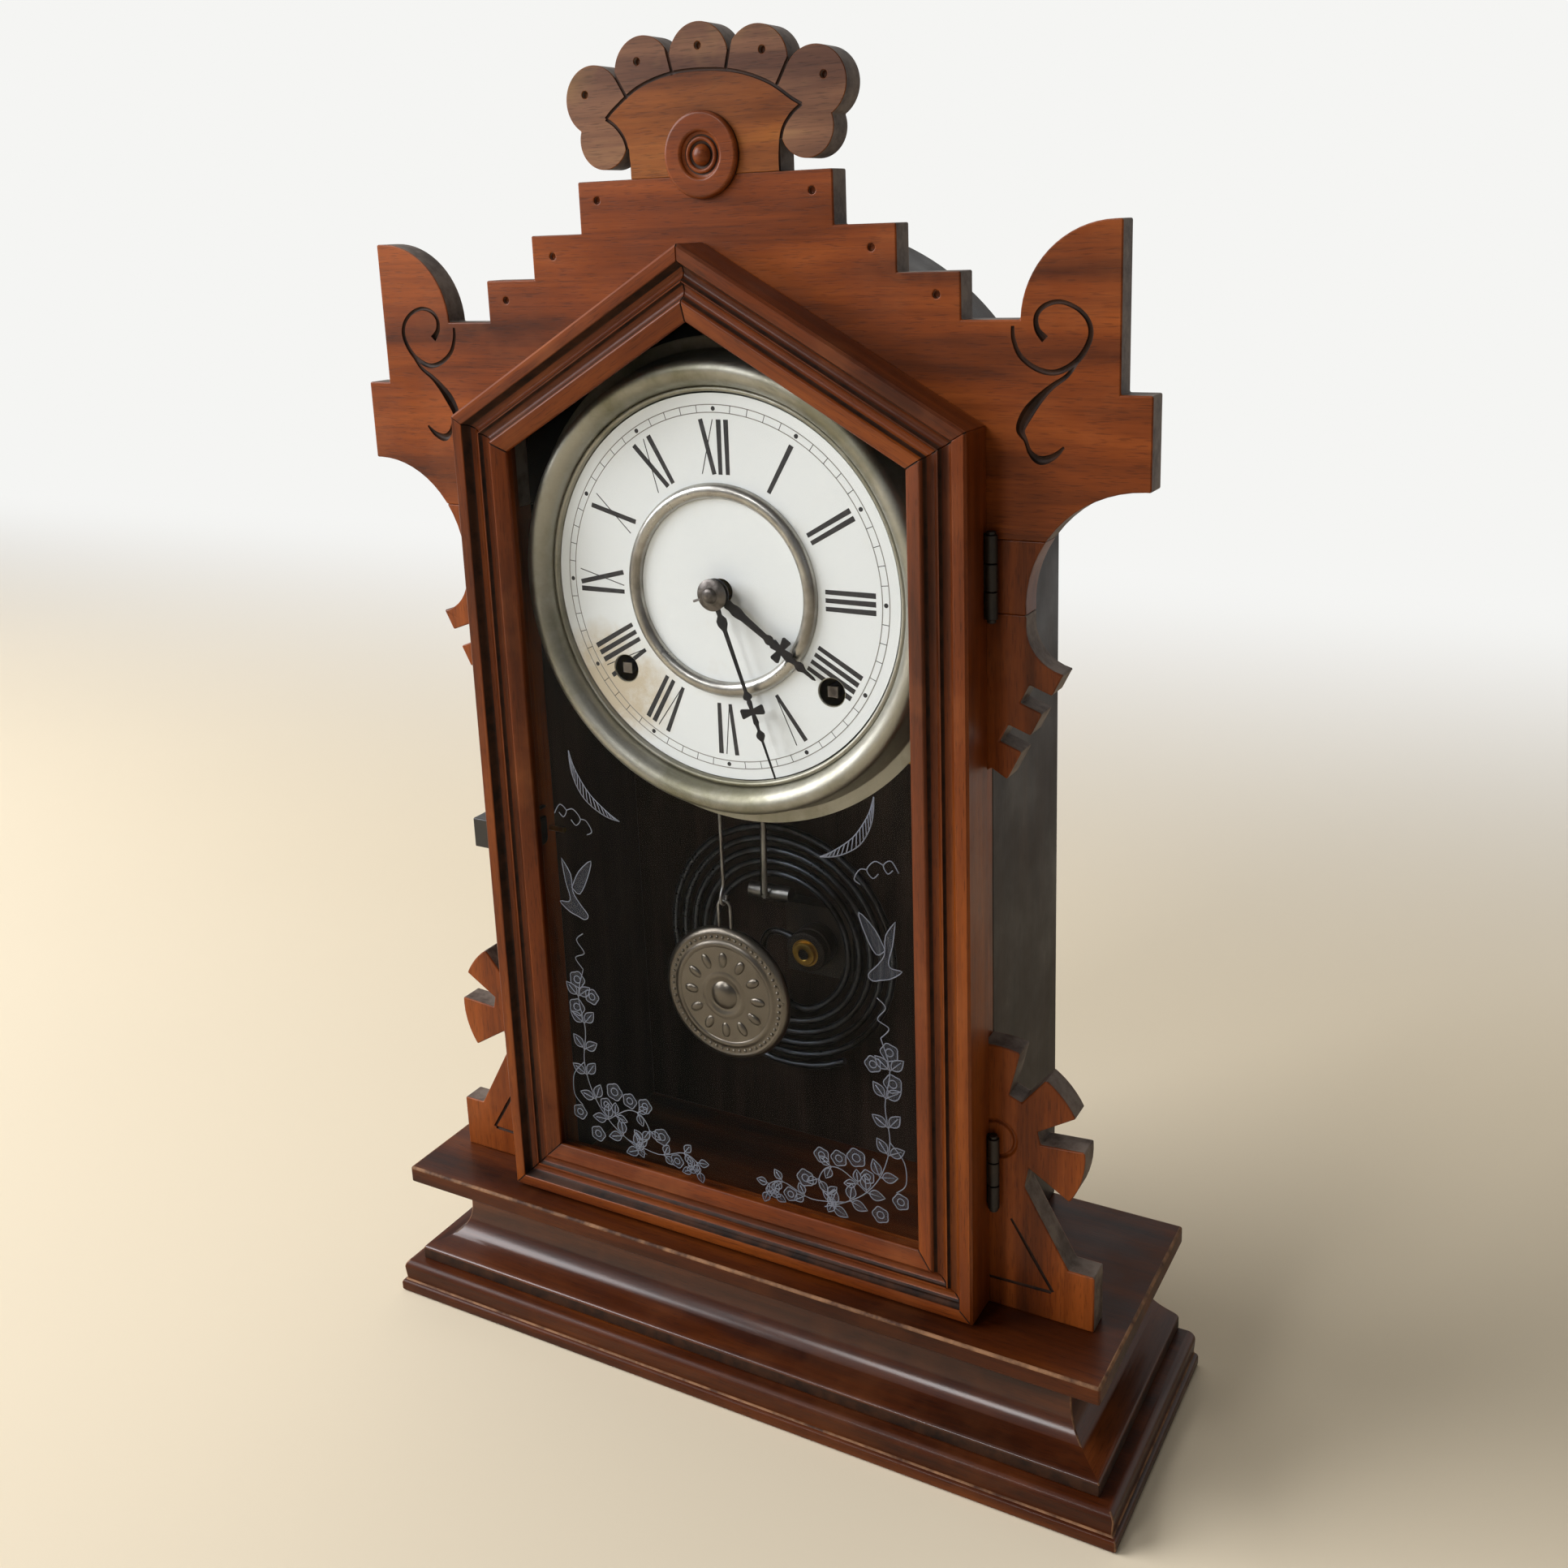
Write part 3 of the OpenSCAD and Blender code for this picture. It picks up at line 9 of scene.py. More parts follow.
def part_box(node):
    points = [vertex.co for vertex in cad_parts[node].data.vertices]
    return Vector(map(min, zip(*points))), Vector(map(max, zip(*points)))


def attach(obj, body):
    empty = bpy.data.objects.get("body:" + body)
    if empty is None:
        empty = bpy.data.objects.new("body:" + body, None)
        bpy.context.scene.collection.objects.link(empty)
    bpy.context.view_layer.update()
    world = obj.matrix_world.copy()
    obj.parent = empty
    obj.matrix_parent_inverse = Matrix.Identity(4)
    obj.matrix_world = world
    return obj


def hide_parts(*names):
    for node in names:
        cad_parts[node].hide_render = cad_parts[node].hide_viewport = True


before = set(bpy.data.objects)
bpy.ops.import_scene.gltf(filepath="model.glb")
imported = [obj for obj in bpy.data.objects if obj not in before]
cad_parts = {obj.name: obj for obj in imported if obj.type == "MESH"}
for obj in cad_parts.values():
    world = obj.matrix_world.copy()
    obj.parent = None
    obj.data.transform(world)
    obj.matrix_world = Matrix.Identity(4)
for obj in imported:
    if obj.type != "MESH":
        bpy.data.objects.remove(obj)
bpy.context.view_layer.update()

bl_info = {
    "name": "Gabled shelf clock",
    "version": (1, 0, 0),
    "blender": (4, 5, 0),
    "location": "View3D > Sidebar > Shelf clock",
    "description": "Dresses the packed frame of a gabled shelf clock, piece by piece",
    "category": "Object",
}

# Places on the clock in millimetres, as in the part's source
HALF_DEPTH = 47.9
# Middles: height of the hands' arbor, and across and up of the rest
HUB_Z = 287.2
CREST = (1.5, 415.8)
ROUNDEL = (1.5, 421.7)
GONG = (-10.0, 141.0)
BOSS = (2.0, 142.0)
BOB = (-11.0, 139.0)
WINDING = (39.0, 257.5)
# Depths, out from the back plane
GONG_DEPTH = 18.0
PLATE_FRONT = 47.5
PENDULUM = 56.5
PAPER_FRONT = 66.5
FRAME_FRONT = 68.1
HOUR_HAND = 70.6
MINUTE_HAND = 72.2
GLASS_BACK = 77.0
PAPER_RADIUS = 63.5
WIND_HOLE = 4.9
BOSS_RADIUS = 8.0
STRIP_TOP = 350.0
# Degrees from twelve, clockwise
HOUR_ANGLE, MINUTE_ANGLE = 125.5, 161.0
GABLE_SLOPE = math.atan2(53.4, 92.1)


# ---------------------------------------------------------------- small tools

def at(x, depth, z):
    """A point from millimetres: across, out from the back plane, and up."""
    return Vector((x, HALF_DEPTH - depth, z)) / 1000


def tone(code):
    """A colour written as sRGB hex, turned to linear."""
    parts = [int(code[i:i + 2], 16) / 255 for i in (1, 3, 5)]
    return [p / 12.92 if p <= 0.04045 else ((p + 0.055) / 1.055) ** 2.4 for p in parts]


def deselect():
    """Leaves editing, with nothing selected."""
    if bpy.context.object and bpy.context.object.mode != "OBJECT":
        bpy.ops.object.mode_set(mode="OBJECT")
    bpy.ops.object.select_all(action="DESELECT")


def pick(*pieces):
    """Selects these pieces alone, and makes the last one active."""
    deselect()
    for piece in pieces:
        piece.select_set(True)
    bpy.context.view_layer.objects.active = pieces[-1]


def edit(piece):
    """Opens a mesh for editing, with all of it selected."""
    pick(piece)
    bpy.ops.object.mode_set(mode="EDIT")
    bpy.ops.mesh.select_all(action="SELECT")


def reach(place, centre):
    """How far a point lies from a centre in X and Z, in millimetres."""
    return math.hypot(place.x * 1000 - centre[0], place.z * 1000 - centre[1])


def pick_parts(piece, kind, test):
    """Opens a piece for editing, with only the faces or edges picked that pass a test."""
    edit(piece)
    bpy.ops.mesh.select_mode(type=kind)
    bpy.ops.mesh.select_all(action="DESELECT")
    bpy.ops.object.mode_set(mode="OBJECT")
    for part in piece.data.polygons if kind == "FACE" else piece.data.edges:
        part.select = test(part)
    bpy.ops.object.mode_set(mode="EDIT")


def room_for(piece, share):
    """Opens a piece's material slots up to the one of this number."""
    while len(piece.data.materials) <= share:
        piece.data.materials.append(None)


def paint(piece, share, test):
    """Gives the faces that pass a test one of the piece's further finishes."""
    room_for(piece, share)
    for face in piece.data.polygons:
        if test(face):
            face.material_index = share


def settle(piece, to=None):
    """Turns a curve into a mesh, moves it to its place and applies that to the mesh."""
    pick(piece)
    if piece.type != "MESH":
        bpy.ops.object.convert(target="MESH")
        piece = bpy.context.object
    if to is not None:
        piece.matrix_world = to @ piece.matrix_world
    bpy.ops.object.transform_apply(location=True, rotation=True, scale=True)
    return piece


def modify(piece, kind, **settings):
    """Adds a modifier with its settings and applies it."""
    pick(piece)
    added = piece.modifiers.new(kind.lower(), kind)
    for key, value in settings.items():
        setattr(added, key, value)
    bpy.ops.object.modifier_apply(modifier=added.name)


def smooth(piece, angle=30):
    """Shades curves smooth and lets large flat faces rule the shade of their edges."""
    pick(piece)
    bpy.ops.object.shade_smooth_by_angle(angle=math.radians(angle))
    modify(piece, "WEIGHTED_NORMAL", keep_sharp=True, weight=80)


def close_up(piece, gap=1e-6):
    """Merges doubles and turns every face outwards."""
    edit(piece)
    bpy.ops.mesh.remove_doubles(threshold=gap)
    bpy.ops.mesh.normals_make_consistent(inside=False)
    deselect()


def hand_over(piece, name, body, slot, finishes, *nodes, shade=None):
    """Shades, names and finishes a piece, and hands it to the frame in place of the nodes named."""
    if shade:
        smooth(piece, shade)
    piece.name = name
    piece.data.name = name
    finishes = finishes if isinstance(finishes, list) else [finishes]
    shares = [0] * len(piece.data.polygons)
    piece.data.polygons.foreach_get("material_index", shares)
    piece.data.materials.clear()
    for each in finishes:
        piece.data.materials.append(finish(each) if isinstance(each, str) else each)
    shares = [min(share, len(finishes) - 1) for share in shares]
    piece.data.polygons.foreach_set("material_index", shares)
    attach(piece, body)
    if nodes:
        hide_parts(*nodes)
    deselect()


def join(pieces):
    """Makes one piece of several; the last one stays."""
    pick(*pieces)
    bpy.ops.object.join()
    return bpy.context.view_layer.objects.active


def copy_of(node, gap=0.002):
    """A merged copy of a CAD solid, with its flat faces made whole."""
    deselect()
    piece = bpy.data.objects.new(node + "_dressed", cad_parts[node].data.copy())
    bpy.context.scene.collection.objects.link(piece)
    edit(piece)
    bpy.ops.mesh.remove_doubles(threshold=gap / 1000)
    bpy.ops.mesh.dissolve_limited(angle_limit=math.radians(0.6))
    deselect()
    return piece


def soften(piece, width, angle=35, segments=2, worn=False):
    """Rounds the sharp edges; worn gives the rounding the piece's second finish."""
    room_for(piece, 1)
    modify(piece, "BEVEL", width=width / 1000, segments=segments, limit_method="ANGLE",
           angle_limit=math.radians(angle), use_clamp_overlap=False, material=1 if worn else -1)


def dress(node, ending, body, slot, finishes, shade=30, painted=(), **edge):
    """A copy of a CAD solid in its place, with its edges rounded and further finishes painted on."""
    piece = copy_of(node)
    if edge:
        soften(piece, **edge)
    for share, test in painted:
        paint(piece, share, test)
    hand_over(piece, node + ending, body, slot, finishes, node, shade=shade)


def cut(piece, cutter):
    """Takes one piece away from another, and removes it."""
    modify(piece, "BOOLEAN", operation="DIFFERENCE", object=cutter, solver="EXACT")
    bpy.data.objects.remove(cutter, do_unlink=True)
    if len(piece.data.polygons) < 6:
        raise RuntimeError("a cut has emptied " + piece.name)
    # Slivers that a cut leaves are merged away, so that the piece stays closed
    edit(piece)
    bpy.ops.mesh.remove_doubles(threshold=2e-5)
    bpy.ops.mesh.dissolve_degenerate(threshold=2e-5)
    bpy.ops.mesh.normals_make_consistent(inside=False)
    deselect()


def bars(runs, radius, sides=3, flat=None):
    """Round bars along runs of (points in metres, widths or None, closed); flat presses them."""
    deselect()
    bpy.ops.curve.primitive_nurbs_path_add()
    piece = bpy.context.object
    data = piece.data
    data.splines.clear()
    for points, swell, closed in runs:
        run = data.splines.new("POLY")
        run.points.add(len(points) - 1)
        for point, place in zip(run.points, points):
            point.co = (*place, 1)
        for point, share in zip(run.points, swell or []):
            point.radius = share
        run.use_cyclic_u = closed
    data.bevel_depth = radius / 1000
    data.bevel_resolution = sides
    data.use_fill_caps = True
    piece = settle(piece)
    close_up(piece)
    if flat is not None:
        level = Matrix.Translation(at(0, flat, 0))
        settle(piece, level @ Matrix.Diagonal((1, 0.15, 1, 1)) @ level.inverted())
    return piece


def line(points, radius, swell=None):
    """One round bar."""
    return bars([(points, swell, False)], radius)


def box(place, size):
    """A box in metres: its middle, and its sizes across, in depth and up."""
    deselect()
    bpy.ops.mesh.primitive_cube_add(size=1, location=place)
    bpy.context.object.scale = size
    return settle(bpy.context.object)


def circled(piece, count, centre):
    """Copies of a piece all round a centre in X and Z, joined with it."""
    middle = Matrix.Translation((centre[0] / 1000, 0, centre[1] / 1000))
    every = [piece]
    for k in range(1, count):
        other = piece.copy()
        other.data = piece.data.copy()
        bpy.context.scene.collection.objects.link(other)
        turn = Matrix.Rotation(math.tau * k / count, 4, "Y")
        other.matrix_world = middle @ turn @ middle.inverted()
        every.append(other)
    return settle(join(every))


def flat_shapes(outlines, front, thick):
    """Flat shapes with their fronts at one depth; an outline inside another is a hole."""
    deselect()
    bpy.ops.curve.primitive_bezier_circle_add()
    piece = bpy.context.object
    data = piece.data
    data.dimensions = "2D"
    data.fill_mode = "BOTH"
    data.extrude = thick / 2000
    data.splines.clear()
    for outline in outlines:
        run = data.splines.new("POLY")
        run.points.add(len(outline) - 1)
        for point, place in zip(run.points, outline):
            point.co = (place[0] / 1000, place[1] / 1000, 0, 1)
        run.use_cyclic_u = True
    stand = Matrix.Translation(at(0, front - thick / 2, 0)) @ Matrix.Rotation(math.pi / 2, 4, "X")
    piece = settle(piece, stand)
    close_up(piece)
    return piece


def turned(section, centre, steps, depth=0):
    """A turned piece: a section of (radius, depth) pairs, counted from a depth, spun about a centre in
    X and Z."""
    deselect()
    x, z = centre
    bpy.ops.mesh.primitive_plane_add(size=0.001)
    piece = bpy.context.object
    piece.data.clear_geometry()
    edges = [(i, i + 1) for i in range(len(section) - 1)]
    piece.data.from_pydata([at(r, depth + d, 0) for r, d in section], edges, [])
    piece.data.update()
    pick(piece)
    bpy.ops.object.mode_set(mode="EDIT")
    bpy.ops.mesh.select_all(action="SELECT")
    bpy.ops.mesh.spin(steps=steps, angle=2 * math.pi, center=(0, 0, 0), axis=(0, 1, 0))
    deselect()
    close_up(piece, 2e-6)
    return settle(piece, Matrix.Translation((x / 1000, 0, z / 1000)))


def curve(a, b, c, d, n):
    """Points of a Bezier arc in millimetres."""
    points = []
    for t in (i / n for i in range(n + 1)):
        u = 1 - t
        points.append(tuple(p * u ** 3 + 3 * q * t * u ** 2 + 3 * r * t * t * u + v * t ** 3
                            for p, q, r, v in zip(a, b, c, d)))
    return points


def flowing(marks, n=6):
    """A smooth line through marks, with n steps between two; a mark may carry more than a place."""
    ends = [marks[0], *marks, marks[-1]]
    points = []
    for four in zip(ends, ends[1:], ends[2:], ends[3:]):
        for t in (i / n for i in range(n)):
            points.append(tuple(0.5 * (2 * q + (r - p) * t + (2 * p - 5 * q + 4 * r - v) * t * t
                                       + (3 * q - p - 3 * r + v) * t ** 3) for p, q, r, v in zip(*four)))
    return [*points, tuple(marks[-1])]


def around(centre, radius, first, last, n):
    """Points of a round arc, with its angles in degrees."""
    angles = [math.radians(first + (last - first) * i / n) for i in range(n + 1)]
    return [(centre[0] + radius * math.cos(a), centre[1] + radius * math.sin(a)) for a in angles]


def flip(points):
    """The same marks on the other side of the clock."""
    return [(-x, *rest) for x, *rest in points]


# ---------------------------------------------------------------- finishes

def feed(node, links):
    """Joins sockets, or the results of other nodes, to a node's inputs."""
    for key, source in links.items():
        if isinstance(source, bpy.types.Node):
            # A mix gives its colour at its third output
            source = source.outputs[2 if source.bl_idname == "ShaderNodeMix" else 0]
        node.id_data.links.new(source, node.inputs[key])


def add(tree, kind, settings=None, links=None):
    """Adds one shader node with its settings, and joins its inputs."""
    made = tree.nodes.new("ShaderNode" + kind)
    for key, value in (settings or {}).items():
        if key == "stops":
            ramp = made.color_ramp.elements
            while len(ramp) < len(value):
                ramp.new(0.5)
            for element, (place, colour) in zip(ramp, value):
                element.position = place
                element.color = (*(tone(colour) if isinstance(colour, str) else [colour] * 3), 1)
        elif isinstance(key, int) or key in made.inputs:
            made.inputs[key].default_value = value
        else:
            setattr(made, key, value)
    feed(made, links or {})
    return made


def start(name, metallic=0.0, roughness=0.4, **sockets):
    """A new material: its tree, its main shader and its Object coordinates."""
    made = bpy.data.materials.new(name)
    made.use_nodes = True
    tree = made.node_tree
    shader = tree.nodes["Principled BSDF"]
    shader.inputs["Metallic"].default_value = metallic
    shader.inputs["Roughness"].default_value = roughness
    for key, value in sockets.items():
        shader.inputs[key.replace("_", " ")].default_value = value
    return made, tree, shader, add(tree, "TexCoord").outputs["Object"]


def walnut(name, colours, turn, worn="#94552a", coat=0.12, gloss=0.2):
    """Black walnut, planed and finished with shellac: soft clouds, fine straight fibres, short dark
    pores, and a thin gloss that has dulled in patches. The grain runs up, and turn lays it otherwise."""
    made, tree, shader, place = start(name, roughness=0.45, Coat_Weight=coat, Coat_Roughness=gloss,
                                      Specular_IOR_Level=0.15)
    layers = []
    for across, along, noise in (
            # Soft clouds of colour 14 mm wide, drawn out over 120 mm along the grain
            (0.014, 0.12, {"Detail": 4.0, "Roughness": 0.55, "Distortion": 0.25}),
            # Fibres 1.1 mm apart and 60 mm long, between growth lines and pale streaks
            (0.0011, 0.06, {"Detail": 4.0, "Roughness": 0.7}),
            # Open pores 0.35 mm wide and 5 mm long, drawn a little coarse so that they show
            (0.00035, 0.005, {"Detail": 1.0})):
        laid = add(tree, "Mapping", {"vector_type": "TEXTURE", "Rotation": turn,
                                     "Scale": (across, across, along)}, {"Vector": place})
        layers.append(add(tree, "TexNoise", {"Scale": 1.0, **noise}, {"Vector": laid}))
    cloud, fibre, pore = layers
    colour = add(tree, "ValToRGB", {"stops": list(zip((0.3, 0.5, 0.72), colours))}, {"Fac": cloud})
    fibre_tone = add(tree, "ValToRGB", {"stops": [(0.33, 0.62), (0.5, 0.9), (0.68, 1.0)]}, {"Fac": fibre})
    pore_tone = add(tree, "ValToRGB", {"stops": [(0.32, 0.3), (0.42, 1.0)]}, {"Fac": pore})
    darken = {"data_type": "RGBA", "blend_type": "MULTIPLY"}
    streaked = add(tree, "Mix", {**darken, 0: 0.7}, {6: colour, 7: fibre_tone})
    pored = add(tree, "Mix", {**darken, 0: 0.45}, {6: streaked, 7: pore_tone})
    # Patches 40 mm across where the shellac has worn thin and reads lighter
    patch = add(tree, "TexNoise", {"Scale": 26.0, "Detail": 4.0, "Roughness": 0.62}, {"Vector": place})
    share = add(tree, "MapRange", {"From Min": 0.52, "From Max": 0.8, "To Max": 0.4}, {"Value": patch})
    aged = add(tree, "Mix", {"data_type": "RGBA", 7: (*tone(worn), 1)}, {0: share, 6: pored})
    rough = add(tree, "MapRange", {"From Min": 0.3, "From Max": 0.7, "To Min": 0.34, "To Max": 0.58},
                {"Value": patch})
    bump = add(tree, "Bump", {"Strength": 0.25, "Distance": 0.00008}, {"Height": pore_tone})
    feed(shader, {"Base Color": aged, "Roughness": rough, "Normal": bump})
    return made


def rubbed(name, bare, soiled):
    """Walnut edges rubbed through the shellac: dry, paler wood with dark grime in places. Given near-black
    colours, it paints shade and grime into grooves.
    """
    made, tree, shader, place = start(name, roughness=0.6, Specular_IOR_Level=0.25)
    wear = add(tree, "TexNoise", {"Scale": 120.0, "Detail": 5.0, "Roughness": 0.65}, {"Vector": place})
    colour = add(tree, "ValToRGB", {"stops": [(0.36, soiled), (0.6, bare)]}, {"Fac": wear})
    feed(shader, {"Base Color": colour})
    return made


def metal(name, clean, stained, roughness, metallic=1.0, spots=30.0, share=(0.45, 0.62), marks=900.0):
    """Old sheet or drawn metal: clean and stained patches, with rubbing marks in its gloss."""
    made, tree, shader, place = start(name, metallic=metallic, roughness=roughness)
    stain = add(tree, "TexNoise", {"Scale": spots, "Detail": 6.0, "Roughness": 0.65}, {"Vector": place})
    colour = add(tree, "ValToRGB", {"stops": list(zip(share, (clean, stained)))}, {"Fac": stain})
    rub = add(tree, "TexNoise", {"Scale": marks, "Detail": 2.0}, {"Vector": place})
    both = add(tree, "Math", {"operation": "ADD"}, {0: rub, 1: stain})
    gloss = add(tree, "MapRange", {"From Min": 0.6, "From Max": 1.4, "To Min": roughness * 0.75,
                                   "To Max": roughness * 1.5}, {"Value": both})
    feed(shader, {"Base Color": colour, "Roughness": gloss})
    return made


UP = (0, 0, 0)
ACROSS = (0, math.pi / 2, 0)
BACKWARD = (math.pi / 2, 0, 0)
SLOPE_RIGHT = (0, math.pi / 2 + GABLE_SLOPE, 0)
SLOPE_LEFT = (0, -math.pi / 2 - GABLE_SLOPE, 0)


# Dark, middle and light of each walnut
FRONT = ("#481f08", "#78380f", "#974d1b")
DOOR = ("#421b05", "#6b300c", "#8c4714")
CREST_FACE = ("#562a0d", "#84491c", "#a0632a")
LOBES = ("#543629", "#7c563f", "#a07a52")
BASE = ("#260c02", "#461d06", "#64300d")
CASE = ("#1d1310", "#2b1f19", "#3a2c24")
STAINED = {"worn": "#6f3c16"}
DULL = {"worn": "#44372f", "coat": 0.0}
WALNUTS = {
    # finish: name, colours, way of the grain, wear and gloss
    "front_across": ("shellacked walnut across", FRONT, ACROSS, {}),
    "front_up": ("shellacked walnut upright", FRONT, UP, {}),
    "crest": ("shellacked walnut crest", CREST_FACE, ACROSS, {"worn": "#9a6c2c"}),
    "door_up": ("door walnut upright", DOOR, UP, {}),
    "door_across": ("door walnut across", DOOR, ACROSS, {}),
    "door_slope_right": ("door walnut right slope", DOOR, SLOPE_RIGHT, {}),
    "door_slope_left": ("door walnut left slope", DOOR, SLOPE_LEFT, {}),
    "crest_lobes": ("dusty walnut lobes", LOBES, ACROSS, {"worn": "#a3814e"}),
    "base_across": ("stained base across", BASE, ACROSS, {**STAINED, "coat": 0.1}),
    "base_polished": ("polished ogee across", BASE, ACROSS, {**STAINED, "coat": 0.7, "gloss": 0.19}),
    "base_back": ("stained base sides", BASE, BACKWARD, {**STAINED, "coat": 0.3}),
    "case_up": ("case boards upright", CASE, UP, DULL),
    "case_across": ("case boards across", CASE, ACROSS, DULL),
}
RUBBED = {
    "front_edge": ("sawn and dusty edges", "#72645a", "#44342b"),
    "base_edge": ("rubbed base edges", "#8a6344", "#3f2212"),
    # Near-black in carved lines, reed valleys, the roundel's hollows and the ogee's foot: grime and painted
    # shade
    "groove": ("grime and painted shade in grooves", "#3a2010", "#1a0d06"),
}
METALS = {
    # finish: name, clean and stained colour, roughness, and further settings
    "brass": ("cast and rolled brass", "#b9954a", "#7c5f2c", 0.32, {}),
    "silvered": ("silvered bob brass", "#7d776e", "#585148", 0.27,
                 {"spots": 6.0, "share": (0.4, 0.7), "marks": 30.0}),
    "gunmetal": ("gunmetal collet", "#77726e", "#4b4643", 0.36, {"spots": 200.0}),
    "steel": ("bright drawn steel", "#9a9a98", "#5c5652", 0.34, {}),
    "spring": ("blued spring steel", "#4a4f57", "#2c2826", 0.3, {}),
    "zinc": ("tarnished zinc sheet", "#aaa89d", "#86836f", 0.42, {"spots": 16.0}),
    "ring": ("tinned brass ring", "#b6b4ae", "#8f8b84", 0.3, {"spots": 40.0}),
    "blued": ("blued steel hand", "#1d1d21", "#2c2624", 0.42, {"metallic": 0.5}),
    "ebonised": ("ebonised knob", "#15120f", "#2a2019", 0.38, {"metallic": 0.0}),
    "japanned": ("japanned iron", "#1d1815", "#33271c", 0.42, {"metallic": 0.3}),
}
FINISHES = {}


def finish(name):
    """The finish of this name, made when it is first asked for."""
    if name not in FINISHES:
        for make, table in ((walnut, WALNUTS), (metal, METALS)):
            if name in table:
                *parts, further = table[name]
                FINISHES[name] = make(*parts, **further)
        if name in RUBBED:
            FINISHES[name] = rubbed(*RUBBED[name])
    return FINISHES[name]


# ---------------------------------------------------------------- sizes and colours to change

def millimetres(name, about, default, low, high):
    return FloatProperty(name=name, description=about, default=default, min=low, max=high, unit="NONE")


def shade(name, about, code):
    return FloatVectorProperty(name=name, description=about, default=tone(code), size=3, subtype="COLOR",
                               min=0, max=1)


class ShelfClockSizes(bpy.types.PropertyGroup):
    edge: millimetres("Worn edge", "Rounding of the board edges, in millimetres", 0.5, 0.1, 1.0)
    groove: millimetres("Carved line", "Half width of a carved line, in millimetres", 0.75, 0.4, 1.2)
    numeral: millimetres("Numeral height", "Height of the hour numerals, in millimetres", 17.4, 12.0, 18.0)


class ShelfClockColours(bpy.types.PropertyGroup):
    paper: shade("Dial paper", "Ground of the dial paper", "#f6fbfb")
    ink: shade("Dial ink", "Numerals and minute track", "#2b2a2c")
    stencil: shade("Glass stencil", "Metallic paint on the back of the door glass", "#737784")
    floor: shade("Floor", "The plain pale floor", "#e0d2b8")


# ---------------------------------------------------------------- wood

BOARDS = {
    # CAD solid: record slot, finish, rounding of its edges
    "base_back_rail": ("dark_walnut", "base_across", 0.5),
    "case_side_left": ("case_wood", "case_up", 0.4),
    "case_side_right": ("case_wood", "case_up", 0.4),
    "case_arch": ("case_wood", "case_across", 0.4),
    "case_back": ("case_wood", "case_up", 0.4),
    "front_stiles": ("walnut", "front_up", 0.5),
    "cheek_blocks": ("walnut", "front_up", 0.5),
    "dial_blocks": ("case_wood", "case_up", 0.4),
}
DOOR_BARS = {
    "door_stile_left": "door_up",
    "door_stile_right": "door_up",
    "door_bottom_rail": "door_across",
    "door_gable_left": "door_slope_left",
    "door_gable_right": "door_slope_right",
}


def dress_moulding(node, foot, finishes):
    """A mitred moulding: worn edges, painted shade with some grime on the upright faces low on its foot,
    and side lengths with their own grain."""
    low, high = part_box(node)
    foot = low.z + foot * (high.z - low.z)
    dress(node, "_run", "case", "dark_walnut", finishes, shade=35, width=0.45, angle=50, worn=True, painted=(
        (0, lambda face: face.normal.z < -0.2),
        (2, lambda face: face.material_index == 0
            and high.x - abs(face.center.x) < face.center.y - low.y - 1e-5),
        # Upright faces low on the foot take the dark groove finish: painted shade with some grime
        (3, lambda face: face.center.z < foot and abs(face.normal.z) < 0.3)))


class CLOCK_OT_base(bpy.types.Operator):
    """Dresses the plinth, the ogee moulding and the deck board"""
    bl_idname = "shelf_clock.base"
    bl_label = "Base"

    def execute(self, context):
        dress_moulding("plinth_moulding", 0, ["base_across", "base_edge", "base_back", "groove"])
        dress_moulding("ogee_moulding", 0.15, ["base_polished", "base_edge", "base_back", "groove"])
        dress("deck_board", "_planed", "case", "walnut", ["base_across", "base_edge"],
              painted=[(0, lambda face: face.normal.z < 0.1)], width=0.9, segments=3, worn=True)
        return {"FINISHED"}


class CLOCK_OT_case(bpy.types.Operator):
    """Dresses the plain boards of the case"""
    bl_idname = "shelf_clock.case"
    bl_label = "Case boards"

    def execute(self, context):
        for node, (slot, wood, edge) in BOARDS.items():
            dress(node, "_planed", "case", slot, wood, width=edge)
        return {"FINISHED"}


# ---------------------------------------------------------------- carved front

# Lines on the right-hand half of the front: across, up, and how wide the gouge goes
EAR_SPIRAL = [(100.0, 371.0, 0.7), (100.3, 367.2, 0.9), (102.5, 362.5, 1.0), (107.6, 359.0, 1.1),
              (113.1, 358.4, 1.2), (118.9, 361.7, 1.2), (122.3, 367.3, 1.1), (122.0, 371.9, 1.0),
              (118.8, 375.5, 0.9), (113.9, 377.4, 0.9), (109.5, 376.5, 1.0), (107.0, 373.8, 1.0),
              (107.2, 370.1, 1.2), (109.5, 367.3, 1.7)]
EAR_TAIL = [(119.9, 363.1, 0.6), (118.5, 360.8, 0.8), (115.8, 357.3, 0.9), (111.6, 354.4, 1.2),
            (108.1, 351.2, 1.8), (104.6, 347.0, 2.5), (102.4, 342.4, 2.0), (103.9, 339.2, 0.9),
            (105.3, 335.8, 1.1), (108.2, 333.7, 1.8), (112.2, 334.9, 1.3), (115.2, 337.6, 0.5)]
BRACKET_LINES = [[(91.0, 111.0, 0.7), (90.9, 92.5, 0.7)],
                 [(99.4, 88.0, 0.6), (106.5, 76.6, 0.9), (113.6, 65.2, 0.8)],
                 [(91.5, 64.4, 0.7), (113.0, 65.0, 0.9)]]
MIDDLE_LINE = [(91.4, 283, 0.7), (91.4, 269.1, 0.7)]
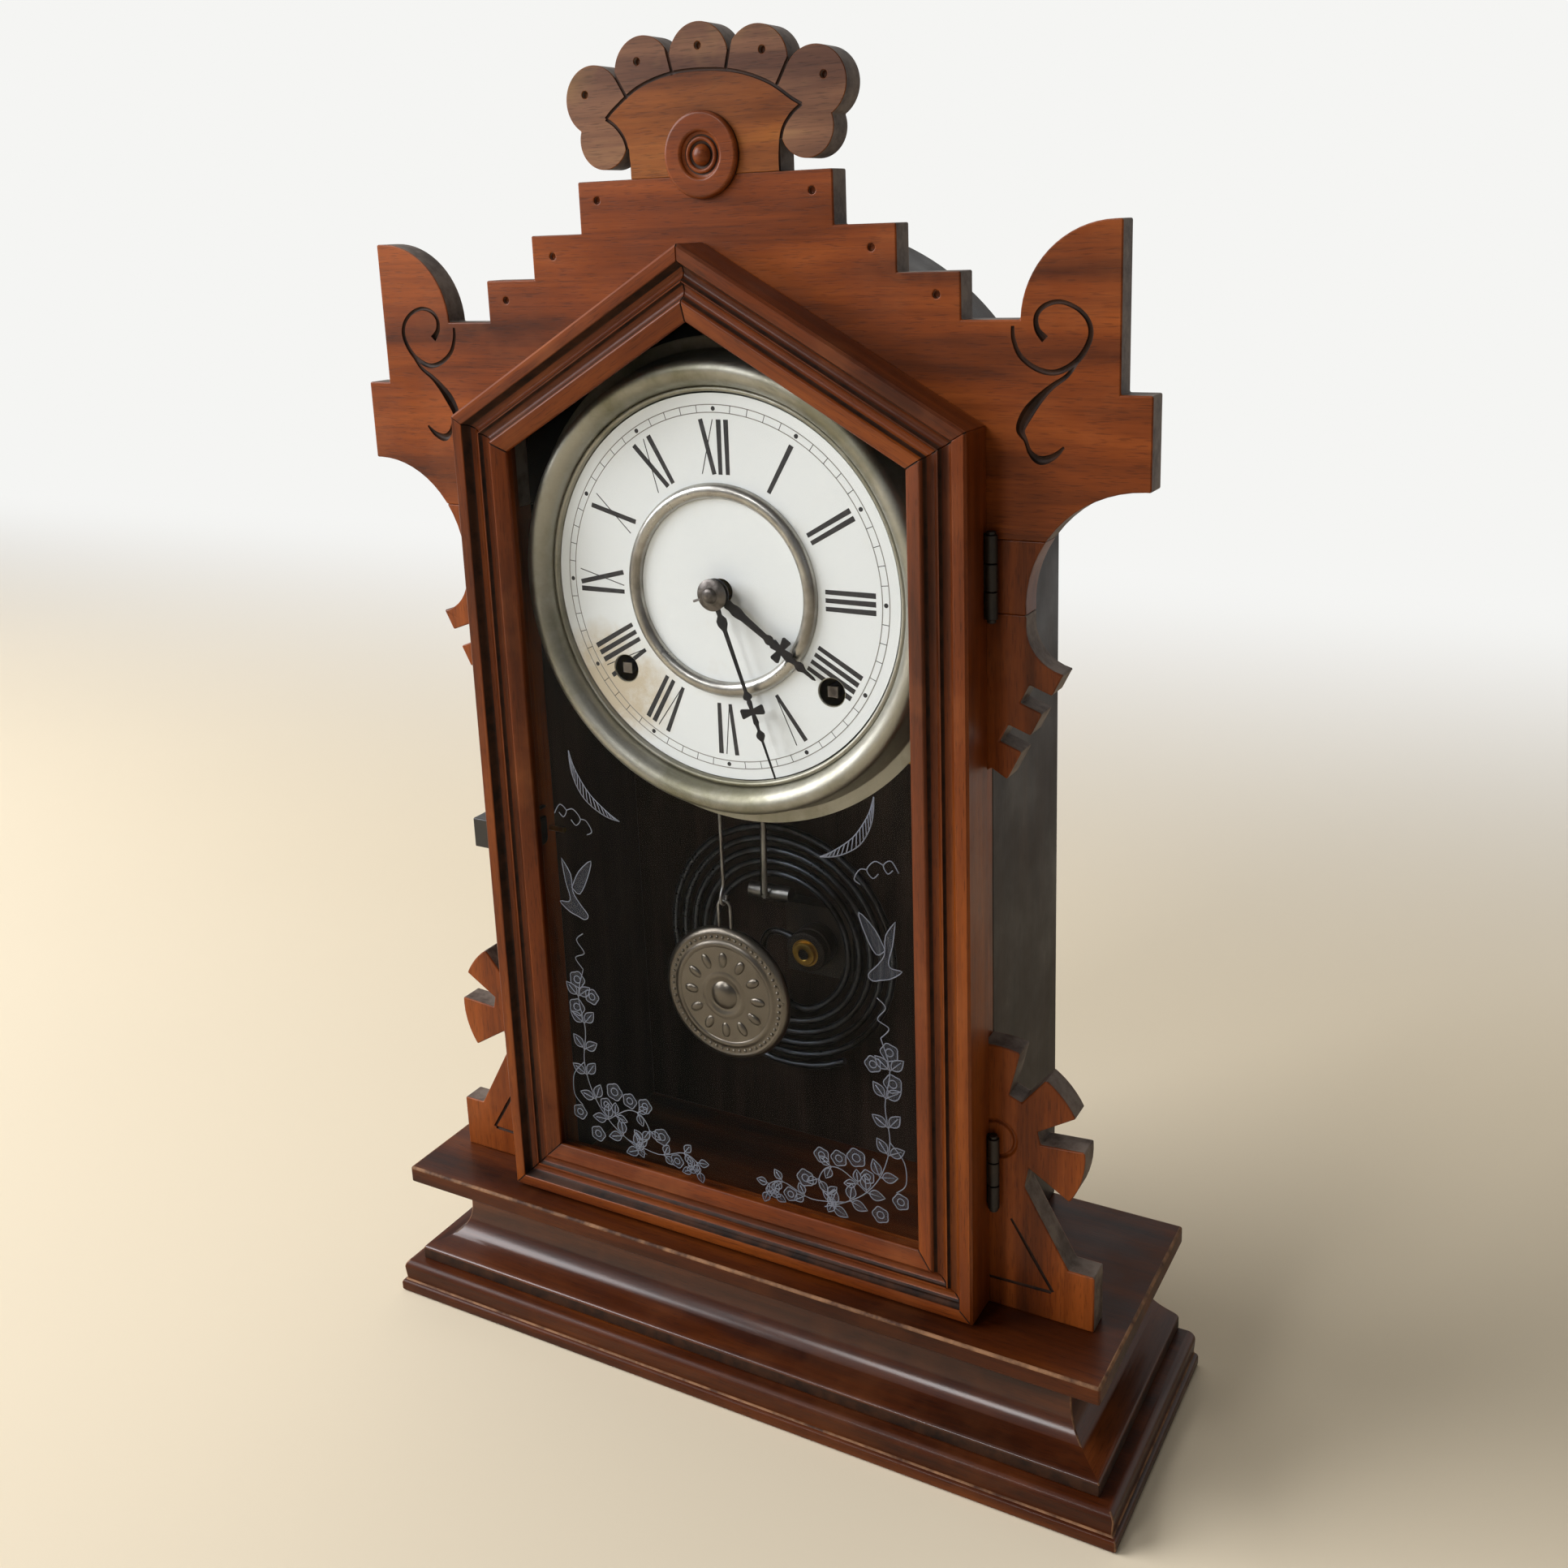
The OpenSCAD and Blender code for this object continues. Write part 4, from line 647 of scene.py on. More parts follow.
# Lines on the crest, across and up from its foot
ARCH = [(-34.2, 18.2), (-30.6, 21.2), (-21.8, 26.6), (-10.4, 29.7), (1.6, 30.1), (13.4, 28.6),
        (23.6, 24.9), (31.0, 20.0), (34.2, 18.2)]
HOLLOW = [(34.2, 18.2), (30.6, 15.6), (27.6, 11.3), (26.6, 5.0), (26.6, -1.0)]
RAYS = [[(9.2, 29.2), (11.4, 38.2)], [(-9.2, 29.2), (-11.4, 38.2)],
        [(26.0, 23.6), (30.4, 31.2)], [(-26.0, 23.6), (-30.4, 31.2)]]
# A circle through the arch, from the foot of the crest: height of its middle, and its radius
ARCH_ROUND = (-24.2, 54.6)


def carve(piece, marks, radius):
    """Cuts a line into the front with a round gouge that lies on the face; its faces are painted near-black,
    for grime and painted shade.
    """
    bar = line([at(x, FRAME_FRONT, z) for x, z, _ in marks], radius, swell=[w for *_, w in marks])
    # The gouge's faces take the dark groove finish: grime together with painted shade
    room_for(piece, 2)
    bar.data.materials.clear()
    paint(bar, 2, lambda face: True)
    cut(piece, bar)


def sawn(face):
    """The sawn edge of a board: neither its front nor its back."""
    return abs(face.normal.y) < 0.35


def dress_board(node, ending, wood, lines):
    """A fretted front board: sawn edges, softened corners and carved lines."""
    sizes = bpy.context.scene.shelf_clock_sizes
    piece = copy_of(node)
    soften(piece, sizes.edge)
    paint(piece, 1, sawn)
    for marks in lines:
        carve(piece, marks, sizes.groove)
    hand_over(piece, node + ending, "case", "walnut", [wood, "front_edge", "groove"], node, shade=30)


class CLOCK_OT_gable(bpy.types.Operator):
    """Dresses the gable board and carves its ears"""
    bl_idname = "shelf_clock.gable"
    bl_label = "Gable board"

    def execute(self, context):
        lines = [flowing(EAR_SPIRAL), flowing(EAR_TAIL)]
        dress_board("gable_board", "_carved", "front_across", lines + [flip(marks) for marks in lines])
        return {"FINISHED"}


class CLOCK_OT_brackets(bpy.types.Operator):
    """Dresses the fretted brackets and carves their lines"""
    bl_idname = "shelf_clock.brackets"
    bl_label = "Side brackets"

    def execute(self, context):
        for side, way in (("right", list), ("left", flip)):
            for node, lines in (("mid_bracket_", [MIDDLE_LINE]), ("lower_bracket_", BRACKET_LINES)):
                dress_board(node + side, "_fretted", "front_up", [way(marks) for marks in lines])
        return {"FINISHED"}


class CLOCK_OT_crest(bpy.types.Operator):
    """Carves the lobed crest: the arch line, the side hollows and the lines between the lobes"""
    bl_idname = "shelf_clock.crest"
    bl_label = "Crest"

    def execute(self, context):
        piece = copy_of("crest_board", gap=0.12)
        soften(piece, 0.2, angle=50, segments=1)
        paint(piece, 1, sawn)
        x, z = CREST
        groove = 0.75 * context.scene.shelf_clock_sizes.groove
        for points in (flowing(ARCH), flowing(HOLLOW), flowing(flip(HOLLOW)), *RAYS):
            carve(piece, [(x + p, z + q, 1.0) for p, q in points], groove)
        middle, radius = ARCH_ROUND

        def on_a_lobe(face):
            """Outside the arch's circle, or beside the neck, which widens towards the arch."""
            out, up = abs(face.center.x * 1000 - x), face.center.z * 1000 - z
            return reach(face.center, (x, z + middle)) > radius or out > 28 + 0.3 * max(up, 0)

        # Dust lies on the lobes
        paint(piece, 3, lambda face: face.normal.y < -0.9 and face.material_index == 0 and on_a_lobe(face))
        hand_over(piece, "crest_board_carved", "case", "walnut",
                  ["crest", "front_edge", "groove", "crest_lobes"], "crest_board", shade=30)
        return {"FINISHED"}


class CLOCK_OT_roundel(bpy.types.Operator):
    """Turns the roundel at the foot of the crest"""
    bl_idname = "shelf_clock.roundel"
    bl_label = "Roundel"

    def execute(self, context):
        # The rim, the band's inner edge, the small ring and the button
        section = [(0, 0), (12.8, 0), *around((11.6, 0.7), 1.2, 0, 90, 6),
                   *around((7.68, 0.9), 1.0, 90, 180, 6), (5.9, 0.4),
                   *around((4.74, 0.4), 0.7, 0, 180, 8), *around((0, -0.86), 3.46, 17, 90, 10)]
        piece = turned(section, ROUNDEL, 72, FRAME_FRONT)
        # Grime and painted shade on the faces that lie low: the foot of the rim, the groove and the foot of
        # the button
        paint(piece, 1, lambda face: face.center.y > at(0, FRAME_FRONT + 0.6, 0).y)
        hand_over(piece, "roundel_turned", "case", "dark_walnut", ["front_across", "groove"], "crest_roundel",
                  shade=40)
        return {"FINISHED"}


class CLOCK_OT_door(bpy.types.Operator):
    """Dresses the reeded bars of the door and the beads behind its glass"""
    bl_idname = "shelf_clock.door"
    bl_label = "Door bars"

    def execute(self, context):
        for node, wood in DOOR_BARS.items():
            # Painted shade with some grime: the sloping sides of the reeds, about 49 to 84 degrees from the
            # front, take the dark groove finish
            dress(node, "_reeded", "door", "walnut", [wood, "groove"], shade=40,
                  painted=[(1, lambda face: 0.1 < -face.normal.y < 0.66)], width=0.3, angle=55, segments=1)
        dress("glass_beads", "_planed", "door", "walnut", "door_up", width=0.3)
        return {"FINISHED"}


# ---------------------------------------------------------------- glass

def make_glass():
    """Old drawn window glass: clear, faintly grey-green, with slow waves in its face."""
    made, tree, shader, place = start("drawn window glass", roughness=0.03, Alpha=0.07,
                                      Base_Color=(*tone("#121413"), 1))
    waves = add(tree, "TexNoise", {"Scale": 22.0, "Detail": 1.0}, {"Vector": place})
    feed(shader, {"Normal": add(tree, "Bump", {"Strength": 0.12, "Distance": 0.0004}, {"Height": waves})})
    return made


class CLOCK_OT_glass(bpy.types.Operator):
    """Glazes the door"""
    bl_idname = "shelf_clock.glass"
    bl_label = "Door glass"

    def execute(self, context):
        pane = copy_of("door_glass")
        soften(pane, 0.2, segments=1)
        hand_over(pane, "door_pane", "door", "glass", make_glass(), "door_glass")
        return {"FINISHED"}


# ---------------------------------------------------------------- stencil on the glass

STENCIL_DEPTH = GLASS_BACK - 0.08
# Stems of the lower left spray: across and up on the glass
STEMS = [
    [(-36, 79), (-44, 83), (-52, 89), (-58, 98), (-61, 110), (-59.5, 123), (-61.5, 136), (-58.5, 147)],
    [(-52, 89), (-43, 95), (-37, 94), (-34, 88), (-37, 84), (-41, 87)],
    [(-44, 83), (-31, 80.5), (-20, 84), (-14, 81), (-15, 78), (-18.5, 79.5)],
    [(-61, 110), (-66, 104), (-66.5, 96), (-63, 92)],
    [(-58.5, 147), (-61.5, 151), (-57.5, 153.5), (-60.5, 158), (-57.5, 161)],
]
# Middle and radius of each flower
FLOWERS = [(-61.5, 142.5, 3.3), (-55.5, 137, 3.0), (-62.5, 131.5, 3.4), (-48.5, 101, 3.5),
           (-42, 99, 3.0), (-52.5, 95, 2.6), (-35.5, 98.5, 2.9), (-29, 88, 3.3), (-64.5, 89, 3.0),
           (-23, 80, 2.7), (-57, 82, 3.1)]
# Stems that bear leaves: which one, steps between the pairs, length and half width of a leaf
LEAFY = [(0, 4, 6.8, 1.9), (2, 4, 5.0, 1.5), (1, 6, 5.4, 1.5)]
CURLS = [[(-66, 205), (-63.5, 208.6), (-60.8, 206.8), (-62.2, 204.2), (-64, 205.6)],
         [(-60.8, 206.8), (-57.8, 207.6), (-55, 204.4), (-57, 201.8), (-59, 203.6)],
         [(-55, 204.4), (-52.5, 204), (-50.5, 200.5), (-52.6, 199)]]
LONG_LEAF = [(-58, 229), (-55.8, 222.5), (-50.5, 214.5), (-43, 208.5), (-38.5, 206)]
SWALLOW = [(-64.5, 188.5), (-61, 183), (-60.5, 176.5), (-58, 172.5), (-54.6, 168.5), (-56.2, 166.6),
           (-59, 167.4), (-62.6, 168.6), (-66.5, 171.8), (-62.8, 172.2), (-61.9, 174.4), (-63.4, 180)]
SWALLOW_WING = [(-60.8, 178), (-57.4, 184.5), (-51.8, 189.4), (-53.8, 182.6), (-57.6, 176)]


def leaf(x0, z0, x1, z1, half):
    """The outline of a pointed leaf from its foot to its tip."""
    long = math.hypot(x1 - x0, z1 - z0)
    ux, uz = (x1 - x0) / long, (z1 - z0) / long
    side = [(t, half * math.sin(math.pi * t ** 0.8)) for t in (0, 0.15, 0.3, 0.45, 0.6, 0.75, 0.9, 1)]
    both = side + [(t, -w) for t, w in reversed(side[1:-1])]
    return [(x0 + long * t * ux - w * uz, z0 + long * t * uz + w * ux) for t, w in both]


def leaves_of(stem, every, long, half):
    """Pairs of leaves along a stem, as outlines and midribs."""
    outlines, ribs = [], []
    for k in range(2, len(stem) - 2, every):
        x, z = stem[k]
        way = math.atan2(stem[k + 1][1] - stem[k - 1][1], stem[k + 1][0] - stem[k - 1][0])
        for lean in (0.85, -0.85):
            ux, uz = math.cos(way + lean), math.sin(way + lean)
            foot, tip = (x + 0.9 * ux, z + 0.9 * uz), (x + long * ux, z + long * uz)
            outlines.append(leaf(*foot, *tip, half))
            ribs.append([(x, z), (x + 0.8 * long * ux, z + 0.8 * long * uz)])
    return outlines, ribs


def scalloped(x, z, radius):
    """The outline of a small open flower with five petals."""
    outline = []
    for a in (math.tau * i / 30 for i in range(30)):
        r = radius * (0.93 + 0.07 * math.cos(5 * a))
        outline.append((x + r * math.cos(a), z + r * math.sin(a)))
    return outline


class CLOCK_OT_stencil(bpy.types.Operator):
    """Draws flowering sprays, curls and a swallow in silver-grey on the back of the glass"""
    bl_idname = "shelf_clock.stencil"
    bl_label = "Glass stencil"

    def execute(self, context):
        colour = context.scene.shelf_clock_colours.stencil
        drawn_in = make_ink("silver grey stencil paint", colour)
        thin = make_ink("thin stencil paint", [c * 0.7 for c in colour], roughness=0.7, Alpha=0.15)
        open_lines = [flowing(stem, 5) for stem in STEMS] + [flowing(curl, 5) for curl in CURLS]
        filled = []
        for k, every, long, half in LEAFY:
            outlines, ribs = leaves_of(flowing(STEMS[k], 5), every, long, half)
            filled += outlines
            open_lines += ribs
        filled += [scalloped(*each) for each in FLOWERS]
        closed_lines = [*filled, *[around((x, z), r * 0.42, 0, 330, 11) for x, z, r in FLOWERS]]
        wings = [flowing([*marks, marks[0]], 3)[:-1] for marks in (SWALLOW, SWALLOW_WING)]
        closed_lines += wings
        rib = flowing(LONG_LEAF, 5)
        wide = [3.2 * math.sin(math.pi * k / (len(rib) - 1)) ** 1.3 for k in range(len(rib))]
        edge = [(x - 0.75 * w, z - 0.65 * w) for (x, z), w in zip(rib, wide)]
        open_lines += [rib, edge, *[[rib[k], edge[k + 2]] for k in range(2, len(rib) - 3)]]
        for way, name in ((list, "stencil_left"), (flip, "stencil_right")):
            runs = [([at(x, STENCIL_DEPTH, z) for x, z in way(points)], None, lines is closed_lines)
                    for lines in (open_lines, closed_lines) for points in lines]
            hand_over(bars(runs, 0.22, sides=1, flat=STENCIL_DEPTH), name, "door", "paper", drawn_in)
            tints = [flat_shapes([way(outline)], STENCIL_DEPTH - 0.08 - 0.004 * k, 0.03)
                     for k, outline in enumerate([*filled, *wings])]
            hand_over(join(tints), name + "_tint", "door", "paper", thin)
        return {"FINISHED"}


# ---------------------------------------------------------------- hinges and latch

class CLOCK_OT_fittings(bpy.types.Operator):
    """Dresses the hinges and the knob of the latch"""
    bl_idname = "shelf_clock.fittings"
    bl_label = "Hinges and latch"

    def execute(self, context):
        for node, body in (("hinge_case_leaves", "case"), ("hinge_door_leaves", "door"),
                           ("hinge_pins", "case")):
            dress(node, "_filed", body, "brass", "japanned", width=0.12, angle=50, segments=1)
        dress("latch_knob", "_turned", "latch", "black_steel", "ebonised", width=0.55, angle=60, segments=3)
        return {"FINISHED"}


# ---------------------------------------------------------------- dial

def make_paper(ground):
    """Printed dial paper: matt, a little yellowed, with foxing low on the left and round the holes."""
    made, tree, shader, place = start("printed dial paper", roughness=0.75)
    fibre = add(tree, "TexNoise", {"Scale": 700.0, "Detail": 3.0}, {"Vector": place})
    blot = add(tree, "TexNoise", {"Scale": 70.0, "Detail": 6.0, "Roughness": 0.7}, {"Vector": place})
    # The stain lies round a point near eight o'clock
    spot = add(tree, "Mapping", {"vector_type": "TEXTURE", "Location": at(-44, PAPER_FRONT, 252),
                                 "Scale": (0.036, 0.05, 0.03)}, {"Vector": place})
    near = add(tree, "TexGradient", {"gradient_type": "SPHERICAL"}, {"Vector": spot})
    both = add(tree, "Math", {"operation": "MULTIPLY"}, {0: near.outputs["Fac"], 1: blot})
    stain = add(tree, "MapRange", {"From Min": 0.12, "From Max": 0.34, "To Max": 0.75}, {"Value": both})
    speck = add(tree, "MapRange", {"From Min": 0.6, "From Max": 0.75, "To Max": 0.14}, {"Value": blot})
    total = add(tree, "Math", {"operation": "MAXIMUM"}, {0: stain, 1: speck})
    colour = add(tree, "Mix", {"data_type": "RGBA", 6: (*ground, 1), 7: (*tone("#c9b48a"), 1)}, {0: total})
    bump = add(tree, "Bump", {"Strength": 0.1, "Distance": 0.00005}, {"Height": fibre})
    feed(shader, {"Base Color": colour, "Normal": bump})
    return made


def make_ink(name, colour, roughness=0.6, **sockets):
    """Printing ink or stencil paint, worn a little thin in places."""
    made, tree, shader, place = start(name, roughness=roughness, **sockets)
    wear = add(tree, "TexNoise", {"Scale": 300.0, "Detail": 4.0}, {"Vector": place})
    share = add(tree, "MapRange", {"From Min": 0.55, "From Max": 0.8, "To Max": 0.35}, {"Value": wear})
    worn = [min(1, c * 1.8 + 0.06) for c in colour]
    mixed = add(tree, "Mix", {"data_type": "RGBA", 6: (*colour, 1), 7: (*worn, 1)}, {0: share})
    feed(shader, {"Base Color": mixed})
    return made


def stroke(a, b, wide_a, wide_b):
    """A straight stroke of a numeral, from a to b."""
    x, z = b[0] - a[0], b[1] - a[1]
    long = math.hypot(x, z)
    nx, nz = -z / long, x / long
    corners = ((a, wide_a / 2), (a, -wide_a / 2), (b, -wide_b / 2), (b, wide_b / 2))
    return [(p + nx * out, q + nz * out) for (p, q), out in corners]


def numeral(text, height):
    """The strokes of a Roman numeral, drawn upright with its middle on the origin."""
    widths = {"I": 2.7, "V": 5.6, "X": 6.2}
    strokes, x = [], -sum(widths[c] for c in text) / 2
    top, foot = height / 2, -height / 2
    for c in text:
        w = widths[c]
        m = x + w / 2
        if c == "I":
            strokes.append(stroke((m, foot), (m, top), 1.45, 1.75))
        elif c == "V":
            strokes.append(stroke((x + 0.9, top), (m, foot), 1.6, 1.3))
            strokes.append(stroke((x + w - 0.7, top), (m + 0.3, foot), 0.34, 0.3))
        else:
            strokes.append(stroke((x + 0.9, top), (x + w - 0.9, foot), 1.6, 1.6))
            strokes.append(stroke((x + w - 0.8, top), (x + 0.8, foot), 0.32, 0.32))
        x += w
    return strokes


NUMERALS = ["XII", "I", "II", "III", "IIII", "V", "VI", "VII", "VIII", "IX", "X", "XI"]
NUMERAL_RING = 46.5
INK_FRONT = PAPER_FRONT + 0.03


def turn_about(points, degrees):
    """Points round the origin, turned clockwise and moved to the middle of the dial."""
    a = -math.radians(degrees)
    return [(p * math.cos(a) - q * math.sin(a), HUB_Z + p * math.sin(a) + q * math.cos(a)) for p, q in points]


class CLOCK_OT_dial(bpy.types.Operator):
    """Spins the dial pan, and prints the dial paper"""
    bl_idname = "shelf_clock.dial"
    bl_label = "Dial"

    def execute(self, context):
        colours = context.scene.shelf_clock_colours
        dress("dial_paper", "_printed", "case", "paper", make_paper(colours.paper))
        ink = make_ink("printing ink", colours.ink)
        height = context.scene.shelf_clock_sizes.numeral
        printed = []
        for hour, text in enumerate(NUMERALS):
            for shape in numeral(text, height):
                outline = turn_about([(p, q + NUMERAL_RING) for p, q in shape], hour * 30)
                printed.append(flat_shapes([outline], INK_FRONT, 0.06))
        printed = join(printed)
        across, up = WINDING
        for x in (-across, across):
            bpy.ops.mesh.primitive_cylinder_add(vertices=48, radius=WIND_HOLE / 1000, depth=0.01,
                                                location=at(x, PAPER_FRONT, up), rotation=(math.pi / 2, 0, 0))
            cut(printed, settle(bpy.context.object))
        hand_over(printed, "hour_numerals", "case", "black_paint", ink)
        marks = [turn_about(around((0, 58.6), 0.75, 0, 330, 11), 30 * k) for k in range(12)]
        tick = [(-0.11, 57.4), (0.11, 57.4), (0.11, 59.8), (-0.11, 59.8)]
        marks += [turn_about(tick, 6 * k) for k in range(60) if k % 5]
        hand_over(flat_shapes(marks, INK_FRONT, 0.06), "minute_marks", "case", "black_paint", ink)
        rings = [around((0, HUB_Z), r, 0, 357.5, 143) for r in (57.55, 57.25, 60.0, 59.7)]
        faded = make_ink("faded track ink", tone("#8b8983"))
        hand_over(flat_shapes(rings, INK_FRONT, 0.05), "minute_track", "case", "black_paint", faded)
        dress("dial_ring", "_pressed", "case", "dial_metal", "ring", shade=50)
        spin_pan()
        return {"FINISHED"}


def spin_pan():
    """The pan: its pierced plate from the frame, and a spun bezel with bead, cove, roll and flange."""
    plate = copy_of("dial_pan")
    corners = [reach(v.co, (0, HUB_Z)) for v in plate.data.vertices]
    pick_parts(plate, "FACE", lambda face: max(corners[v] for v in face.vertices) > PAPER_RADIUS + 0.9)
    bpy.ops.mesh.delete(type="FACE")
    bpy.ops.mesh.select_mode(type="EDGE")
    bpy.ops.mesh.select_all(action="DESELECT")
    bpy.ops.mesh.select_non_manifold()
    bpy.ops.mesh.bridge_edge_loops()
    deselect()
    # Inner lip, bead, cove, roll and flange, then back behind them
    section = [(62.6, -0.3), (64, -0.3), *around((64.9, 0.6), 0.8, 170, 25, 8),
               *curve((65.8, 0.7), (66.2, 3.6), (68.4, 6.2), (71.1, 6.3), 14)[:-1],
               *around((71.1, 3.1), 3.2, 90, 0, 10), (74.7, -0.4), (76.5, -6.3), (77.1, -7.3),
               (80.4, -7.5), (81, -7.7), (80.6, -8), (76.4, -8), (75.9, -6.5), (74.1, 0), (73.7, 3),
               *around((71.1, 3), 2.7, 0, 90, 8),
               *curve((71.1, 5.7), (68.6, 5.6), (66.8, 3.2), (66.4, 0.4), 10)[1:],
               (65.2, -0.6), (62.6, -0.7), (62.6, -0.3)]
    bezel = turned(section, (0, HUB_Z), 144, PAPER_FRONT)
    hand_over(join([plate, bezel]), "dial_pan_spun", "case", "dial_metal", "zinc", "dial_pan", shade=40)


# ---------------------------------------------------------------- hands

def hand_outline(length, cross, boss, weight):
    """A pierced hand that points up: a bead on the stem, a flared cross, a diamond and a point."""
    side = [(1.3, 5.2), (1.1, 7.0), (1.9, 8.6), (1.8, 10.2), (1.0, 12.2)]
    side += [(p, cross + q) for p, q in (
        (0.75, -6.8), (1.6, -5.4), (1.6, -4.6), (0.9, -3.9), (1.3, -3.3), (0.9, -1.0), (4.0, -1.7),
        (4.4, -1.2), (4.4, 1.2), (4.0, 1.7), (0.9, 1.0), (1.4, 3.9), (0.9, 4.4), (0.55, 6.3), (1.5, 7.7),
        (1.5, 8.6), (0.5, 10.2))]
    side.append((0.35, length - 1.0))
    side = [(p if p > 1.4 else p * weight, q) for p, q in side if q < length]
    return [*side, (0, length), *reversed(flip(side)), *around((0, 0), boss, 105, 435, 44)]


class CLOCK_OT_hands(bpy.types.Operator):
    """Pierces the two hands and fits the domed collet with its taper pin"""
    bl_idname = "shelf_clock.hands"
    bl_label = "Hands"

    def execute(self, context):
        for node, body, length, cross, boss, weight, hole, angle, front in (
                ("hour_hand", "hour", 43.5, 28.5, 5.0, 1.3, 3.0, HOUR_ANGLE, HOUR_HAND),
                ("minute_hand", "centre", 63, 39.7, 3.9, 0.7, 1.2, MINUTE_ANGLE, MINUTE_HAND)):
            outline = turn_about(hand_outline(length, cross, boss, weight), angle)
            hand = flat_shapes([outline, around((0, HUB_Z), hole, 0, 348, 29)], front, 0.7)
            soften(hand, 0.16)
            hand_over(hand, node + "_pierced", body, "black_steel", "blued", node, shade=30)
        section = [(1.25, 0), (4.9, 0), (5.3, 0.2), (5.3, 0.5), (4.8, 0.9), (3.6, 1.4), (2.7, 1.6),
                   (2.6, 1.9), (2.2, 2.4), (1.4, 2.75), (0, 2.85), (0, 1.2), (1.25, 1.2), (1.25, 0)]
        collet = turned(section, (0, HUB_Z), 40, MINUTE_HAND)
        hand_over(collet, "hand_collet", "centre", "steel", "gunmetal", shade=30)
        pin = [at(-6.6, MINUTE_HAND + 0.7, HUB_Z - 2.4), at(-1, MINUTE_HAND + 0.7, HUB_Z - 0.4)]
        pin = line(pin, 0.45, swell=[1.0, 0.8])
        hand_over(pin, "collet_pin", "centre", "steel", "gunmetal", shade=30)
        return {"FINISHED"}


# ---------------------------------------------------------------- gong, hammer and pendulum

GONG_WIRE = 1.3
COIL_INNER, COIL_PITCH, COIL_TURNS, COIL_START = 26.5, 4.5, 5, -60
# The way the wire leaves its boss
LEAD = math.radians(160)


def spiral(turn):
    """A place on the gong coil, counted from its inner end in turns."""
    a = math.radians(COIL_START + 360 * turn)
    r = COIL_INNER + COIL_PITCH * turn
    return (GONG[0] + r * math.cos(a), GONG[1] + r * math.sin(a))


class CLOCK_OT_gong(bpy.types.Operator):
    """Winds the gong, turns its boss and finishes the hammer"""
    bl_idname = "shelf_clock.gong"
    bl_label = "Gong and hammer"

    def execute(self, context):
        def out(far):
            """A place on the wire's straight lead, this far from the middle of the boss."""
            return (BOSS[0] + far * math.cos(LEAD), BOSS[1] + far * math.sin(LEAD))

        first = spiral(0)
        a = math.radians(COIL_START)
        tangent = (-math.sin(a), math.cos(a))
        back = (first[0] - 22 * tangent[0], first[1] - 22 * tangent[1])
        run = curve(out(BOSS_RADIUS + 1), out(BOSS_RADIUS + 26), back, first, 18)
        way = [out(BOSS_RADIUS - 2), *run, *[spiral(i / 40) for i in range(1, COIL_TURNS * 40 + 1)]]
        coil = line([at(x, GONG_DEPTH, z) for x, z in way], GONG_WIRE)
        hand_over(coil, "gong_coil_wound", "case", "spring_steel", "spring", "gong_coil", shade=50)
        section = [(0, 24.0), (1.9, 24.0), (2.1, 24.7), (2.4, 24.9), (3.4, 24.9), (4.2, 24.6), (4.5, 24.1),
                   (4.5, 23.1), (5.3, 23.0), (6.9, 22.9), (7.6, 22.6), (8.0, 21.9), (8.0, 19.7), (7.6, 19.3),
                   (7.6, 18.9), (8.0, 18.5), (8.0, 13.5), (7.6, 12.6), (7.6, 12.0), (0, 12.0)]
        boss = turned(section, BOSS, 56)
        # The brass eye stands in a black cup
        paint(boss, 1, lambda face: not 2.05 < reach(face.center, BOSS) < 5.4)
        hand_over(boss, "gong_boss_turned", "case", "brass", ["brass", "japanned"], "gong_boss", shade=30)
        block = box(at(BOSS[0], 8.5, BOSS[1]), (0.028, 0.007, 0.028))
        pick_parts(block, "FACE", lambda face: face.normal.y < -0.9)
        bpy.ops.mesh.inset(thickness=0.003, depth=0)
        bpy.ops.transform.translate(value=(0, 0.0006, 0))
        deselect()
        soften(block, 0.6)
        hand_over(block, "gong_block_cast", "case", "black_paint", "japanned", shade=30)
        dress("hammer", "_finished", "hammer", "steel", "steel", shade=40, width=0.12, angle=50)
        return {"FINISHED"}


def small_dome(size, place):
    """A raised oval of pressed brass: a sphere squashed to its three half sizes."""
    deselect()
    bpy.ops.mesh.primitive_uv_sphere_add(segments=16, ring_count=8, radius=0.001, location=place)
    dome = bpy.context.object
    dome.scale = size
    dome = settle(dome)
    edit(dome)
    bpy.ops.mesh.bisect(plane_co=place, plane_no=(0, 1, 0), clear_outer=True, use_fill=True, threshold=1e-6)
    deselect()
    close_up(dome)
    return dome


